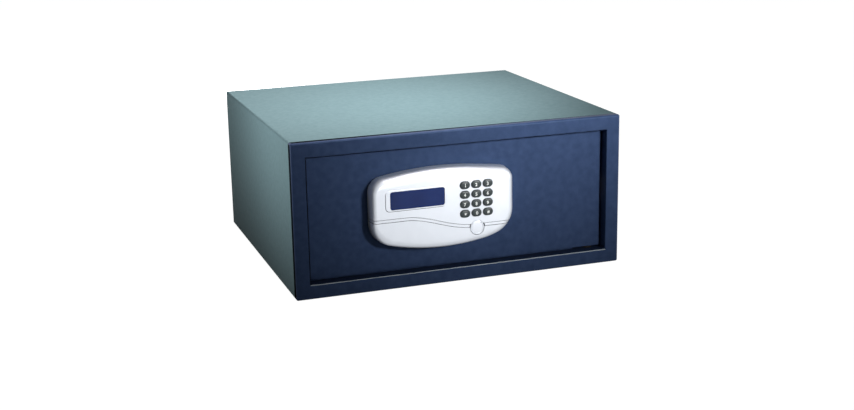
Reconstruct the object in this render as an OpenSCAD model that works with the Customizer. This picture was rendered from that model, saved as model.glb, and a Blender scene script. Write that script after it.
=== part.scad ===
// Electronic safe of laptop size: a recessed steel door with a keypad, driven by a small gear motor.
// Millimetres. +Z is up, the door faces -Y, the origin is the middle of the underside.

/* [Cabinet] */
// Width over the side walls
body_w = 420; // [400:1:480]
// Depth from the front flange to the back
body_d = 370; // [340:1:430]
// Height from the underside to the top
body_h = 190; // [184:1:230]
// Thickness of the cabinet sheet
sheet = 2; // [1.5:0.1:2.5]
// Outside radius of the folded edges
bend_r = 2.5; // [1.5:0.5:4]
// Width of the flange round the door
flange = 18; // [16:1:22]
// Radius of the flange's fold round the opening
fold_r = 1.2; // [0.6:0.1:1.4]
// Depth of the pressed front frame's outer rim
rim_d = 10; // [6:1:16]
// Depth of the reveal behind the flange
reveal_d = 50; // [46:1:60]
// Width of the lips that the door closes against
lip_w = 7; // [5:0.5:9]
// Thickness of the floor mat
mat_t = 3; // [2:0.5:5]
// Margin of the floor mat to the walls
mat_margin = 6; // [2:1:12]
// Radius of the anchor holes
anchor_r = 6; // [4:0.5:7]
// Distance between the floor anchor holes, left to right
anchor_dx = 300; // [240:5:340]
// Distance between the floor anchor holes, front to back
anchor_dy = 220; // [160:5:260]
// Distance between the wall anchor holes
wall_anchor_dx = 300; // [200:5:340]

/* [Door] */
// How far the door lies behind the flange
recess = 12; // [9:0.5:15]
// Gap round the door
door_gap = 3; // [2.6:0.1:4]
// Thickness of the door plate
door_t = 5; // [4:0.5:6]
// Air between the closed door and its stop lips
stop_gap = 0.5; // [0.3:0.1:1]
// Depth of the pan behind the door plate
pan_d = 40.5; // [38:0.5:48]
// Thickness of the pan sheet
pan_t = 1.5; // [1:0.1:2]
// Thickness of the inner cover
cover_t = 1.5; // [1:0.1:2]
// Distance from the door's opening edge to the pan
pan_in_left = 11; // [10:0.5:14]
// Distance from the door's hinge edge to the pan
pan_in_right = 24; // [23:0.5:30]
// Distance from the door's top and bottom edges to the pan
pan_in_z = 6; // [5.5:0.5:9]
// Width of the pan's rear flange
pan_flange = 12; // [9:0.5:16]

/* [Hinge] */
// Radius of the hinge pins
pin_r = 3; // [2.5:0.25:3.5]
// Distance from the door's hinge edge to the pin
pin_in = 14; // [12:0.5:15]
// Distance from the door's face back to the pin
pin_back = 8.5; // [8:0.1:8.8]
// Wall of the hinge bush
bush_wall = 2; // [1.5:0.25:3]
// Running clearance of a shaft in its bush
fit = 0.06; // [0.02:0.01:0.1]
// Thickness of the hinge brackets
bracket_t = 4; // [3:0.5:6]

/* [Live bolts] */
// Radius of the live bolts
bolt_r = 9; // [7:0.5:9.5]
// Height between the two bolts
bolt_dz = 70; // [60:1:76]
// How far the bolts travel
bolt_throw = 22; // [16:0.5:23]
// How far the withdrawn bolts stand out of the pan
bolt_out = 3; // [2:0.5:4]
// Length of a bolt in front of the carriage flange
bolt_len = 47; // [44:0.5:56]
// Distance from the door plate back to the bolts' centre line
bolt_back = 18; // [17:0.5:20]
// Clearance of a bolt in its strike hole
strike_gap = 1; // [0.6:0.1:1.5]
// Thickness of the strike plate
strike_t = 3; // [2:0.5:5]

/* [Bolt carriage] */
// Thickness of the carriage plate
bar_t = 3; // [2:0.5:4]
// Height of the carriage bar
bar_h = 20; // [18:0.5:22]
// Radius of the guide studs
stud_r = 3; // [2:0.25:3.5]
// Distance from the carriage's flange to the left guide stud
stud_left_in = 31; // [27:1:35]
// Distance from the right guide stud to the lug at the carriage's end
stud_right_in = 33.8; // [29:0.1:42]
// Side clearance of a stud in its slot
slot_gap = 0.3; // [0.2:0.05:0.6]

/* [Drive] */
// Gear module
gear_module = 1.5; // [1:0.25:1.5]
// Number of pinion teeth
pinion_teeth = 12; // [11:1:13]
// Pressure angle of the teeth
pressure_angle = 25; // [20:1:25]
// Play between the teeth, on each gear
backlash = 0.25; // [0.2:0.05:0.4]
// Width of the pinion
pinion_w = 7; // [5:0.5:8]
// Distance from the carriage's flange to the pinion
pinion_in = 71; // [67:1:75]
// Radius of the motor can
motor_r = 7.5; // [6:0.5:8]
// Length of the motor can
motor_len = 28; // [20:1:32]
// Width of the gearbox
gearbox_w = 32; // [30:1:36]
// Height of the gearbox
gearbox_h = 30; // [28:1:32]

/* [Emergency lock] */
// Place of the lock
lock_x = 15; // [12:0.5:18]
// Height of the lock, from the middle of the door
lock_up = -26.3; // [-28:0.1:-25]
// Radius of the lock barrel
barrel_r = 8.5; // [7.5:0.25:8.5]
// Radius of the turning plug
plug_r = 5; // [4:0.25:5.5]
// Width of the cam
cam_w = 6; // [5:0.5:7]
// Thickness of the cam
cam_t = 2.5; // [2:0.25:3]
// Radius of the cap over the lock
cap_r = 9; // [8:0.25:9.5]
// Height by which the cap stands out of the cover
cap_proud = 0.3; // [0.1:0.1:1]

/* [Keypad] */
// Depth of the keypad's dark base
base_d = 8; // [6:0.5:10]
// Depth of the keypad's light cover
pad_d = 14; // [13.5:0.5:18]
// Front wall of the cover
pad_wall = 2.2; // [1.8:0.1:2.6]
// Width of the cover's rolled edge
roll_w = 7; // [5:0.5:8]
// Depth of the cover's rolled edge
roll_d = 9; // [7:0.5:11]
// How far the base's floor is set in from the cover
base_in = 1.2; // [0.8:0.1:1.6]
// Middle column of keys
key_x = 14.1; // [12:0.1:16]
// Height of the bottom row of keys, from the middle of the door
keys_up = -7.5; // [-8.5:0.1:-7]
// Distance between key columns
key_dx = 14.7; // [14.4:0.1:15.5]
// Distance between key rows
key_dz = 11.8; // [11.4:0.1:12]
// Width of a key
key_w = 12.8; // [11:0.1:13]
// Height of a key
key_h = 9.5; // [8:0.1:9.8]
// How far a key stands out of the cover
key_proud = 2.2; // [1.8:0.1:3]
// How far a key travels
key_travel = 1.5; // [1:0.1:1.6]
// Width of the display window
window_w = 68.7; // [60:0.1:70]
// Height of the display window
window_h = 22.3; // [18:0.1:23]
// Middle of the display window
window_x = -60.5; // [-62:0.1:-58]
// Height of the middle of the display window, from the middle of the door
window_up = 17.6; // [16:0.1:18.4]
// Width of the wavy band
band_w = 3.7; // [2.5:0.1:4.5]
// Height of the band on the left, from the middle of the door
band_high = -6.5; // [-9:0.1:-4]
// Height of the band on the right, from the middle of the door
band_low = -23.4; // [-25:0.1:-21]
// Depth of the band in the cover
band_t = 0.8; // [0.5:0.1:1]
// Width of the fine groove on each side of the band
band_gap = 0.3; // [0.15:0.05:0.5]

/* [Batteries] */
// Radius of a cell
cell_r = 7.25; // [7:0.05:7.5]
// Length of a cell
cell_len = 50.5; // [49:0.5:51.5]
// Number of cells
cells = 4; // [3:1:4]
// Distance from the pan's hinge side to the middle of the battery box
battery_in = 73; // [67:1:77]
// Thickness of the battery lid
lid_t = 2; // [1.5:0.1:2.5]

/* [Hidden] */
$fn = 48;

// Clearance between parts that are set into each other, and of parts that pass close by
seat_gap = 0.3;
// Overrun of a cutting shape past the face that it cuts
cut = 1;
// Clearance round a screw's shank
screw_gap = 0.2;

// Cabinet
front_y = -body_d/2;
back_y = body_d/2;
mid_z = body_h/2;
inner_bend = max(bend_r - sheet, 0.3);
open_w = body_w - 2*flange;
open_h = body_h - 2*flange;
reveal_y = front_y + reveal_d;
lip_stop = 20;
strike_margin = 11;

// Door
door_y = front_y + recess;
door_back = door_y + door_t;
door_w = open_w - 2*door_gap;
door_h = open_h - 2*door_gap;
door_r = 1;
lip_y = door_back + stop_gap;
pan_x0 = -door_w/2 + pan_in_left;
pan_x1 = door_w/2 - pan_in_right;
pan_h = door_h - 2*pan_in_z;
pan_y = door_back + pan_d;
cover_y = pan_y + cover_t;
cover_screw_r = 1.6;
cover_head_r = 3.2;
cover_head_t = 1.8;
cover_screw_len = 7;
cover_screw_x = [pan_x0 + pan_flange*0.6, (pan_x0 + pan_x1)/2, pan_x1 - pan_flange*0.6];
cover_screw_z = pan_h/2 - pan_flange*0.6;

// Hinge
hinge_x = door_w/2 - pin_in;
hinge_y = door_y + pin_back;
bush_r = pin_r + fit + bush_wall;
bush_flange = 2;
bush_flange_t = 1;
block_w = 16;
block_d = 10;
block_h = 23;
block_gap = 0.5;
pin_in_block = 18;
hinge_end = open_h/2 + sheet + bracket_t;
bracket_reach = 14;

// Bolts and carriage
bolt_y = door_back + bolt_back;
bolt_tip_x = pan_x0 - bolt_out;
bolt_end_x = bolt_tip_x + bolt_len;
bolt_edge = 1.5;
guide_wall = 2.5;
guide_flange = 2;
guide_len = 9;
guide_out = 1.5;
tail_r = 5;
carriage_flange_t = 3;
bar_x0 = bolt_end_x + carriage_flange_t;
nut_t = 3;
tail_out = 1.5;
tail_len = carriage_flange_t + nut_t + tail_out;
flange_margin = 3;
flange_h = bolt_dz + 2*bolt_r + 2*flange_margin;
flange_d = 2*bolt_r + 2;
bar_up = 3;
bar_z = mid_z + bar_up;
bar_z0 = bar_z - bar_h/2;
bar_y0 = bolt_y - bar_t/2;
bar_y1 = bolt_y + bar_t/2;
stud_shoulder_r = stud_r + 2;
washer_r = stud_r + 2.5;
washer_t = 1;
slot_over = 1;
notch_w = 6;
notch_h = 2;

// Rack and pinion
pitch_r = gear_module*pinion_teeth/2;
base_r = pitch_r*cos(pressure_angle);
addendum = 0.8*gear_module;
dedendum = gear_module;
tooth_pitch = PI*gear_module;
rack_z = bar_z0 - dedendum;
pinion_x = bar_x0 + pinion_in;
pinion_z = rack_z - pitch_r;
tooth_root = 0.5;
rack_teeth = ceil((bolt_throw + 4*tooth_pitch)/tooth_pitch);
flank_steps = 5;
shaft_r = 2;
shaft_floor = 2;
shaft_air = 1;
motor_plate_t = 2;
gearbox_air = 2.5;
gearbox_r = 2;
gearbox_y0 = door_back + motor_plate_t;
gearbox_y1 = bar_y0 - gearbox_air;
hub_r = 4.5;
hub_t = 2;
motor_boss = 2;
motor_z = pinion_z - gearbox_h/2 + motor_r;
motor_y = gearbox_y0 + motor_r;
motor_x1 = pinion_x - gearbox_w/2;
motor_end_x = motor_x1 - motor_len - motor_boss;
bracket_edge = 8;
motor_screw_in = 4;
motor_screw_r = 1.5;
motor_head_r = 2.75;
motor_head_t = 1.8;

// Emergency lock
lock_z = mid_z + lock_up;
cam_home = 52;
cam_turned = 38;
cam_air = 1.3;
cam_len = bar_z0 - lock_z - cam_air;
lug_w = 6;
lug_x = lock_x + cam_len*sin(cam_turned) + cam_w/2*cos(cam_turned) + seat_gap;
lug_h = 8.5;
bar_x1 = lug_x + lug_w;
stud_left_x = bar_x0 + stud_left_in;
stud_right_x = lug_x - stud_right_in;
barrel_out = 8;
barrel_air = 2;
barrel_y0 = door_y - base_d - barrel_out;
barrel_y1 = bar_y0 - barrel_air;
barrel_flange = 2.5;
barrel_nut_r = 13;
barrel_nut_t = 5;
plug_in = 0.5;
plug_end = 2;
cam_y0 = bolt_y - cam_t/2;
cam_y1 = bolt_y + cam_t/2;

// Limit switches
switch_w = 20;
switch_h = 10.5;
switch_d = 10;
plunger_r = 1.2;
plunger_h = 2;
switch_z0 = bar_z0 + bar_h + plunger_h;
switch_xs = [-46, -12];
shelf_t = 1.5;
shelf_x0 = -54;
shelf_x1 = 16;
shelf_z = switch_z0 + switch_h;
shelf_tab = 14;

// Keypad, front to back
key_z = mid_z + keys_up;
window_z = mid_z + window_up;
rim_y = door_y - base_d;
pad_y = rim_y - pad_d;
pad_in_y = pad_y + pad_wall;
key_flange = 0.6;
key_flange_t = 1.5;
key_air = 0.1;
key_hole_gap = 0.3;
mat_y = pad_in_y + key_air + key_flange_t + key_travel + seat_gap;
dome_h = 0.8;
dome_r = 3;
mat_sheet = 1.2;
board_y = mat_y + dome_h + mat_sheet;
board_t = 1.6;
board_x = -22;
board_z = mid_z + 6;
board_w = 148;
board_h = 58;
board_r = 3;
plug_w = 14;
plug_h = 6;
plug_d = 3.5;
step_y = board_y - board_t/2;
pad_side = 2.4;
front_in = roll_w + 1.5;
base_wall = 2;
base_floor = 2.5;
skirt_y = door_y - base_floor;
post_r = 4;
post_places = [[-90, 3], [-90, 30], [46, 30], [46, -9]];
posts = [for (p = post_places) [p[0], mid_z + p[1]]];
post_air = 1;
pad_screw_r = 2;
pad_head_r = 3.8;
pad_head_t = 2.4;
key_rows = 4;
key_cols = 3;
window_r = 2;
window_edge = 1.2;
window_flange_t = 1;
window_sunk = 0.3;
bezel_w = 76;
bezel_h = 25.4;
bezel_x = window_x - 1.8;
bezel_r = 5;
bezel_deep = 0.5;
lcd_w = 72;
lcd_h = 27;
lcd_r = 1;
lcd_edge = 2;
lcd_sunk = 0.6;
grommet_x = -70;
grommet_up = 17;
grommet_z = mid_z + grommet_up;
grommet_r = 9;
grommet_bore = 6;
grommet_lip = 2;
grommet_lip_t = 1.5;
cap_groove_r = 7;
cap_groove_w = 0.5;
cap_t = 2.2;
skirt_r = cap_r - 1;
skirt_t = 1.2;
skirt_len = 2.5;

// Corners of the keypad's outline, counter-clockwise from the front:
// [x, height from the middle of the door, radius]
pad_shape = [
    [-117, -34.3, 29], [-35, -53.1, 275], [32, -41.4, 90], [64, -28.8, 34],
    [63.5, 43.4, 14], [-34, 54.6, 410], [-117, 42, 19]
];
pad_corners = [for (c = pad_shape) [c[0], mid_z + c[1], c[2]]];
corner_steps = 8;

// Parts on the board, from its middle: [x, z, width, height, depth] and [x, z, radius, depth]
board_boxes = [[-1, -2, 14, 14, 2], [24, 3, 8, 8, 1.6], [48, 14, 12, 6, 5]];
board_rounds = [[-22, -19, 4, 7], [14, -17, 5.5, 3]];

// Batteries
battery_x = pan_x1 - battery_in;
cell_gap = 0.5;
cell_pitch = 2*cell_r + cell_gap;
contact_t = 1.5;
box_wall = 1.5;
box_in_w = cell_len + 2*contact_t;
box_in_h = cells*cell_pitch;
box_w = box_in_w + 2*box_wall;
box_h = box_in_h + 2*box_wall;
box_in_d = 2*cell_r + 1;
box_y0 = pan_y - box_wall - box_in_d;
rail_w = 4;
rail_lip = 1.6;
rail_lip_t = 1.2;
lid_air = 0.3;
rail_y1 = cover_y + lid_t + 2*lid_air + rail_lip_t;
box_flange = 4;
lid_w = box_w;
lid_h = box_h + 2*rail_lip;
lid_ribs = 5;
rib_w = 1.5;
rib_h = 0.6;
rib_len = 24;
rib_in = 6;
rib_pitch = 3;

// Reset button
reset_r = 3;
reset_body_r = 6;
reset_body_d = 13.5;
reset_bezel_r = 7.5;
reset_bezel_t = 1.2;
reset_floor = 3;
reset_travel = 1.5;
reset_out = 2;
reset_nut_t = 2;
reset_in = 7;
reset_up = 20;
reset_x = pan_x1 - pan_flange - reset_bezel_r - reset_in;
reset_z = mid_z + reset_up;

steel = "#8f9498";
navy = "#35425e";
green_grey = "#7c9596";
dark = "#1c1e22";
brass = "#b8964c";

// Helpers

// A flat shape in X and Z, made solid from y0 back to y1
module slab(y0, y1) {
    translate([0, y1, 0]) rotate([90, 0, 0]) linear_extrude(y1 - y0) children();
}

// A box between two corners
module box(low, high) {
    translate(low) cube(high - low);
}

// A round bar along Y at x and z
module bar_y(x, z, r, y0, y1) {
    translate([x, y1, z]) rotate([90, 0, 0]) cylinder(r = r, h = y1 - y0);
}

// A round bar along X at y and z
module bar_x(y, z, r, x0, x1) {
    translate([x0, y, z]) rotate([0, 90, 0]) cylinder(r = r, h = x1 - x0);
}

// A rectangle with true round corners, about its middle
module round_rect(w, h, r) {
    square([w - 2*r, h], center = true);
    square([w, h - 2*r], center = true);
    for (x = [-1, 1], z = [-1, 1]) translate([x*(w/2 - r), z*(h/2 - r)]) circle(r);
}

// An oval with round ends, about its middle
module oval(w, h) {
    square([w - h, h], center = true);
    for (x = [-1, 1]) translate([x*(w - h)/2, 0]) circle(d = h);
}

// Something at the same place above and below the middle height
module top_and_bottom() {
    children();
    translate([0, 0, 2*mid_z]) mirror([0, 0, 1]) children();
}

function unit(v) = v/norm(v);
function left_of(a, b) = let (d = unit([b[0] - a[0], b[1] - a[1]])) [-d[1], d[0]];

// Points of a round-cornered convex outline, set in by d
function outline(corners, d) = let (n = len(corners)) [
    for (i = [0 : n - 1])
    let (
        here = corners[i],
        na = left_of(corners[(i + n - 1) % n], here),
        nb = left_of(here, corners[(i + 1) % n]),
        miter = (na + nb)/(1 + na*nb),
        r = max(here[2] - d, 1),
        centre = [here[0], here[1]] + (d + r)*miter,
        from = atan2(na[1], na[0]),
        turn = acos(min(na*nb, 1))
    )
    for (k = [0 : corner_steps])
        let (a = from + turn*k/corner_steps) centre - r*[cos(a), sin(a)]
];

// A closed skin through rings that have the same number of points
module loft(rings) {
    n = len(rings[0]);
    m = len(rings);
    points = [for (ring = rings) each ring];
    faces = concat(
        [[for (i = [0 : n - 1]) i]],
        [[for (i = [n - 1 : -1 : 0]) (m - 1)*n + i]],
        [for (k = [0 : m - 2], i = [0 : n - 1]) [k*n + i, (k + 1)*n + i, k*n + (i + 1) % n]],
        [for (k = [0 : m - 2], i = [0 : n - 1])
            [k*n + (i + 1) % n, (k + 1)*n + i, (k + 1)*n + (i + 1) % n]]
    );
    polyhedron(points, faces, convexity = 4);
}

// Cabinet

module cabinet_shell() {
    color(green_grey) difference() {
        slab(front_y + rim_d, back_y) translate([0, mid_z]) round_rect(body_w, body_h, bend_r);
        slab(front_y, back_y + cut)
            translate([0, mid_z]) round_rect(body_w - 2*sheet, body_h - 2*sheet, inner_bend);
        for (x = [-1, 1], y = [-1, 1])
            translate([x*anchor_dx/2, y*anchor_dy/2, -cut]) cylinder(r = anchor_r, h = sheet + 2*cut);
    }
}

// The outside of the frame: flat in front, with round edges and ball corners
module frame_blank() {
    ex = body_w/2 - bend_r;
    ez = body_h/2 - bend_r;
    ey = front_y + bend_r;
    slab(front_y, ey + cut) translate([0, mid_z]) square([2*ex, 2*ez], center = true);
    slab(ey, front_y + rim_d) translate([0, mid_z]) round_rect(body_w, body_h, bend_r);
    for (s = [-1, 1]) {
        bar_x(ey, mid_z + s*ez, bend_r, -ex, ex);
        translate([s*ex, ey, mid_z - ez]) cylinder(r = bend_r, h = 2*ez);
        for (t = [-1, 1]) translate([s*ex, ey, mid_z + t*ez]) sphere(bend_r);
    }
}

module front_frame() {
    lip_x1 = hinge_x - lip_stop;
    color(navy) difference() {
        union() {
            difference() {
                frame_blank();
                slab(front_y + sheet, front_y + rim_d + cut)
                    translate([0, mid_z]) round_rect(body_w - 2*sheet, body_h - 2*sheet, inner_bend);
            }
            slab(front_y + sheet/2, reveal_y)
                translate([0, mid_z]) square([open_w + 2*sheet, open_h + 2*sheet], center = true);
        }
        difference() {
            slab(front_y - cut, reveal_y + cut)
                translate([0, mid_z]) square([open_w, open_h], center = true);
            slab(lip_y, lip_y + sheet) translate([0, mid_z]) difference() {
                translate([(lip_x1 - open_w/2 - cut)/2, 0])
                    square([lip_x1 + open_w/2 + cut, open_h + 2*cut], center = true);
                translate([lip_w + cut, 0]) square([open_w + 2*cut, open_h - 2*lip_w], center = true);
            }
        }
        fold_flare();
        strike_holes();
        hinge_holes(bush_r);
    }
}

// Rounds the flange's inner edge: a shallow cut all round, less a round bar along each side
module fold_flare() {
    w = open_w + 2*fold_r;
    h = open_h + 2*fold_r;
    y = front_y + fold_r;
    difference() {
        slab(front_y - cut, y) translate([0, mid_z]) square([w, h], center = true);
        for (s = [-1, 1]) {
            translate([s*w/2, y, mid_z - h/2]) cylinder(r = fold_r, h = h);
            bar_x(y, mid_z + s*h/2, fold_r, -w/2, w/2);
        }
    }
}

// The holes that the bolts enter, through the reveal and the strike plate
module strike_holes() {
    for (s = [-1, 1])
        bar_x(bolt_y, mid_z + s*bolt_dz/2, bolt_r + strike_gap,
            -open_w/2 - sheet - strike_t - cut, -open_w/2 + cut);
}

// The holes for the hinge bushes
module hinge_holes(r) {
    top_and_bottom() translate([hinge_x, hinge_y, mid_z + open_h/2 - cut])
        cylinder(r = r, h = sheet + bracket_t + 2*cut);
}

module back_panel() {
    color(green_grey) difference() {
        slab(back_y - sheet, back_y)
            translate([0, mid_z]) round_rect(body_w - 2*sheet, body_h - 2*sheet, inner_bend);
        for (x = [-1, 1]) bar_y(x*wall_anchor_dx/2, mid_z, anchor_r, back_y - sheet - cut, back_y + cut);
    }
}

module hinge_brackets() {
    color(steel) difference() {
        top_and_bottom() translate([0, 0, mid_z + open_h/2 + sheet])
            box([hinge_x - bracket_reach, hinge_y - bracket_reach, 0],
                [open_w/2, hinge_y + bracket_reach, bracket_t]);
        hinge_holes(bush_r);
    }
}

module hinge_bushes() {
    color(brass) top_and_bottom() difference() {
        translate([hinge_x, hinge_y, mid_z + open_h/2]) {
            translate([0, 0, -bush_flange_t]) cylinder(r = bush_r + bush_flange, h = bush_flange_t);
            cylinder(r = bush_r, h = sheet + bracket_t);
        }
        translate([hinge_x, hinge_y, mid_z]) cylinder(r = pin_r + fit, h = hinge_end + cut);
    }
}

module strike_plate() {
    z_reach = bolt_dz/2 + bolt_r + strike_margin;
    color(steel) difference() {
        box([-open_w/2 - sheet - strike_t, lip_y, mid_z - z_reach],
            [-open_w/2 - sheet, reveal_y, mid_z + z_reach]);
        strike_holes();
    }
}

module floor_mat() {
    color("#2b2d31") difference() {
        box([-body_w/2 + sheet + mat_margin, reveal_y + mat_margin, sheet],
            [body_w/2 - sheet - mat_margin, back_y - sheet - mat_margin, sheet + mat_t]);
        for (x = [-1, 1], y = [-1, 1])
            translate([x*anchor_dx/2, y*anchor_dy/2, 0]) cylinder(r = anchor_r, h = sheet + mat_t + cut);
    }
}

// Door

module door_plate() {
    color(navy) difference() {
        slab(door_y, door_back) translate([0, mid_z]) round_rect(door_w, door_h, door_r);
        bar_y(lock_x, lock_z, barrel_r + seat_gap, door_y - cut, door_back + cut);
        bar_y(grommet_x, grommet_z, grommet_r, door_y - cut, door_back + cut);
        for (p = posts) bar_y(p[0], p[1], pad_screw_r + screw_gap, door_y - cut, door_back + cut);
    }
}

module door_pan() {
    w = pan_x1 - pan_x0;
    color(navy) difference() {
        slab(door_back, pan_y) translate([(pan_x0 + pan_x1)/2, mid_z]) round_rect(w, pan_h, pan_t + 1);
        slab(door_back - cut, pan_y - pan_t) translate([(pan_x0 + pan_x1)/2, mid_z])
            square([w - 2*pan_t, pan_h - 2*pan_t], center = true);
        slab(pan_y - pan_t - cut, pan_y + cut) translate([(pan_x0 + pan_x1)/2, mid_z])
            square([w - 2*pan_flange, pan_h - 2*pan_flange], center = true);
        for (s = [-1, 1]) bar_x(bolt_y, mid_z + s*bolt_dz/2, bolt_r + fit + guide_wall,
            pan_x0 - cut, pan_x0 + pan_t + cut);
        cover_screw_holes(cover_screw_r);
    }
}

module cover_screw_holes(r) {
    for (x = cover_screw_x, s = [-1, 1])
        bar_y(x, mid_z + s*cover_screw_z, r, pan_y - pan_t - cut, cover_y + cut);
}

module inner_cover() {
    color("#3a3e45") difference() {
        slab(pan_y, cover_y) translate([(pan_x0 + pan_x1)/2, mid_z])
            round_rect(pan_x1 - pan_x0, pan_h, pan_t + 1);
        slab(pan_y - cut, cover_y + cut) translate([battery_x, mid_z])
            square([box_w + 2*seat_gap, box_h + 2*rail_w + 2*seat_gap], center = true);
        bar_y(reset_x, reset_z, reset_body_r, pan_y - cut, cover_y + cut);
        cover_screw_holes(cover_screw_r + screw_gap);
    }
}

module cover_screws() {
    color(steel) for (x = cover_screw_x, s = [-1, 1]) difference() {
        union() {
            bar_y(x, mid_z + s*cover_screw_z, cover_screw_r, cover_y - cover_screw_len, cover_y);
            bar_y(x, mid_z + s*cover_screw_z, cover_head_r, cover_y, cover_y + cover_head_t);
        }
        cross_slot(x, mid_z + s*cover_screw_z, cover_head_r, cover_y + cover_head_t);
    }
}

// The cross in a screw head that faces +Y
module cross_slot(x, z, head_r, y1) {
    long = 1.3*head_r;
    wide = 0.28*head_r;
    deep = 1;
    for (turn = [0, 1]) slab(y1 - deep, y1 + cut) translate([x, z])
        square(turn == 0 ? [long, wide] : [wide, long], center = true);
}

module hinge_blocks() {
    color(steel) top_and_bottom() difference() {
        box([hinge_x - block_w/2, door_back, mid_z + door_h/2 - block_gap - block_h],
            [hinge_x + block_w/2, door_back + block_d, mid_z + door_h/2 - block_gap]);
        translate([hinge_x, hinge_y, mid_z + door_h/2 - block_gap - pin_in_block])
            cylinder(r = pin_r, h = pin_in_block + cut);
    }
}

module hinge_pins() {
    z0 = mid_z + door_h/2 - block_gap - pin_in_block;
    color("#b9bcc0") top_and_bottom() translate([hinge_x, hinge_y, z0])
        cylinder(r = pin_r, h = mid_z + hinge_end - seat_gap - z0);
}

module bolt_guides() {
    outer = bolt_r + fit + guide_wall;
    color(dark) for (s = [-1, 1]) difference() {
        union() {
            bar_x(bolt_y, mid_z + s*bolt_dz/2, outer, pan_x0 - guide_out, pan_x0 - guide_out + guide_len);
            bar_x(bolt_y, mid_z + s*bolt_dz/2, outer + guide_flange,
                pan_x0 + pan_t, pan_x0 + pan_t + guide_flange);
        }
        bar_x(bolt_y, mid_z + s*bolt_dz/2, bolt_r + fit, pan_x0 - guide_out - cut, pan_x0 + guide_len + cut);
    }
}

module guide_studs() {
    color(steel) for (x = [stud_left_x, stud_right_x]) {
        bar_y(x, bar_z, stud_shoulder_r, door_back, bar_y0 - seat_gap);
        bar_y(x, bar_z, stud_r, bar_y0 - seat_gap, bar_y1 + seat_gap + 2*washer_t);
    }
}

module stud_washers() {
    y0 = bar_y1 + seat_gap;
    color("#b9bcc0") for (x = [stud_left_x, stud_right_x]) difference() {
        bar_y(x, bar_z, washer_r, y0, y0 + washer_t);
        bar_y(x, bar_z, stud_r, y0 - cut, y0 + washer_t + cut);
    }
}

// Drive

// Where the gearbox screws stand, from the pinion's axis
motor_screw_x = gearbox_w/2 - motor_screw_in;
motor_screw_z = gearbox_h/2 - motor_screw_in;

module motor_bracket() {
    color(steel) slab(door_back, gearbox_y0) difference() {
        translate([pinion_x, pinion_z])
            round_rect(gearbox_w + 2*bracket_edge, gearbox_h, gearbox_r);
        for (x = [-1, 1], z = [-1, 1])
            translate([pinion_x + x*motor_screw_x, pinion_z + z*motor_screw_z]) circle(motor_screw_r);
    }
}

module gear_motor() {
    color("#c9ccd0") {
        difference() {
            slab(gearbox_y0, gearbox_y1) translate([pinion_x, pinion_z])
                round_rect(gearbox_w, gearbox_h, gearbox_r);
            for (x = [-1, 1], z = [-1, 1])
                bar_y(pinion_x + x*motor_screw_x, pinion_z + z*motor_screw_z,
                    motor_screw_r, gearbox_y0 - cut, gearbox_y1 + cut);
            bar_y(pinion_x, pinion_z, shaft_r + fit, gearbox_y0 + shaft_floor, gearbox_y1 + cut);
        }
        bar_x(motor_y, motor_z, motor_r, motor_x1 - motor_len, motor_x1);
        bar_x(motor_y, motor_z, motor_r/2, motor_end_x, motor_x1 - motor_len);
    }
}

module motor_screws() {
    color("#b9bcc0") for (x = [-1, 1], z = [-1, 1]) {
        px = pinion_x + x*motor_screw_x;
        pz = pinion_z + z*motor_screw_z;
        difference() {
            union() {
                bar_y(px, pz, motor_screw_r, door_back, gearbox_y1);
                bar_y(px, pz, motor_head_r, gearbox_y1, gearbox_y1 + motor_head_t);
            }
            cross_slot(px, pz, motor_head_r, gearbox_y1 + motor_head_t);
        }
    }
}

// Half the angle that a tooth takes at radius r, in degrees
function involute(angle) = tan(angle)*180/PI - angle;
function half_tooth(r) = (tooth_pitch/2 - backlash)/2/pitch_r*180/PI
    + involute(pressure_angle) - involute(acos(min(base_r/r, 1)));

function pinion_points() = [
    for (tooth = [0 : pinion_teeth - 1])
    let (middle = 90 + tooth*360/pinion_teeth, low = max(base_r, pitch_r - dedendum))
    each concat(
        [(pitch_r - dedendum)*[cos(middle - half_tooth(low)), sin(middle - half_tooth(low))]],
        [for (k = [0 : flank_steps])
            let (r = low + (pitch_r + addendum - low)*k/flank_steps, a = middle - half_tooth(r))
            r*[cos(a), sin(a)]],
        [for (k = [flank_steps : -1 : 0])
            let (r = low + (pitch_r + addendum - low)*k/flank_steps, a = middle + half_tooth(r))
            r*[cos(a), sin(a)]],
        [(pitch_r - dedendum)*[cos(middle + half_tooth(low)), sin(middle + half_tooth(low))]]
    )
];

module drive_pinion() {
    y0 = bolt_y - pinion_w/2;
    color(brass) {
        slab(y0, y0 + pinion_w) translate([pinion_x, pinion_z]) polygon(pinion_points());
        bar_y(pinion_x, pinion_z, shaft_r, gearbox_y0 + shaft_floor + shaft_air, y0);
        bar_y(pinion_x, pinion_z, hub_r, y0 + pinion_w, y0 + pinion_w + hub_t);
    }
}

module rack_tooth() {
    at_pitch = (tooth_pitch/2 - backlash)/2;
    lean = tan(pressure_angle);
    polygon([
        [-at_pitch + addendum*lean, -addendum], [at_pitch - addendum*lean, -addendum],
        [at_pitch + dedendum*lean, dedendum], [at_pitch + dedendum*lean, dedendum + tooth_root],
        [-at_pitch - dedendum*lean, dedendum + tooth_root], [-at_pitch - dedendum*lean, dedendum]
    ]);
}

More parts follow.
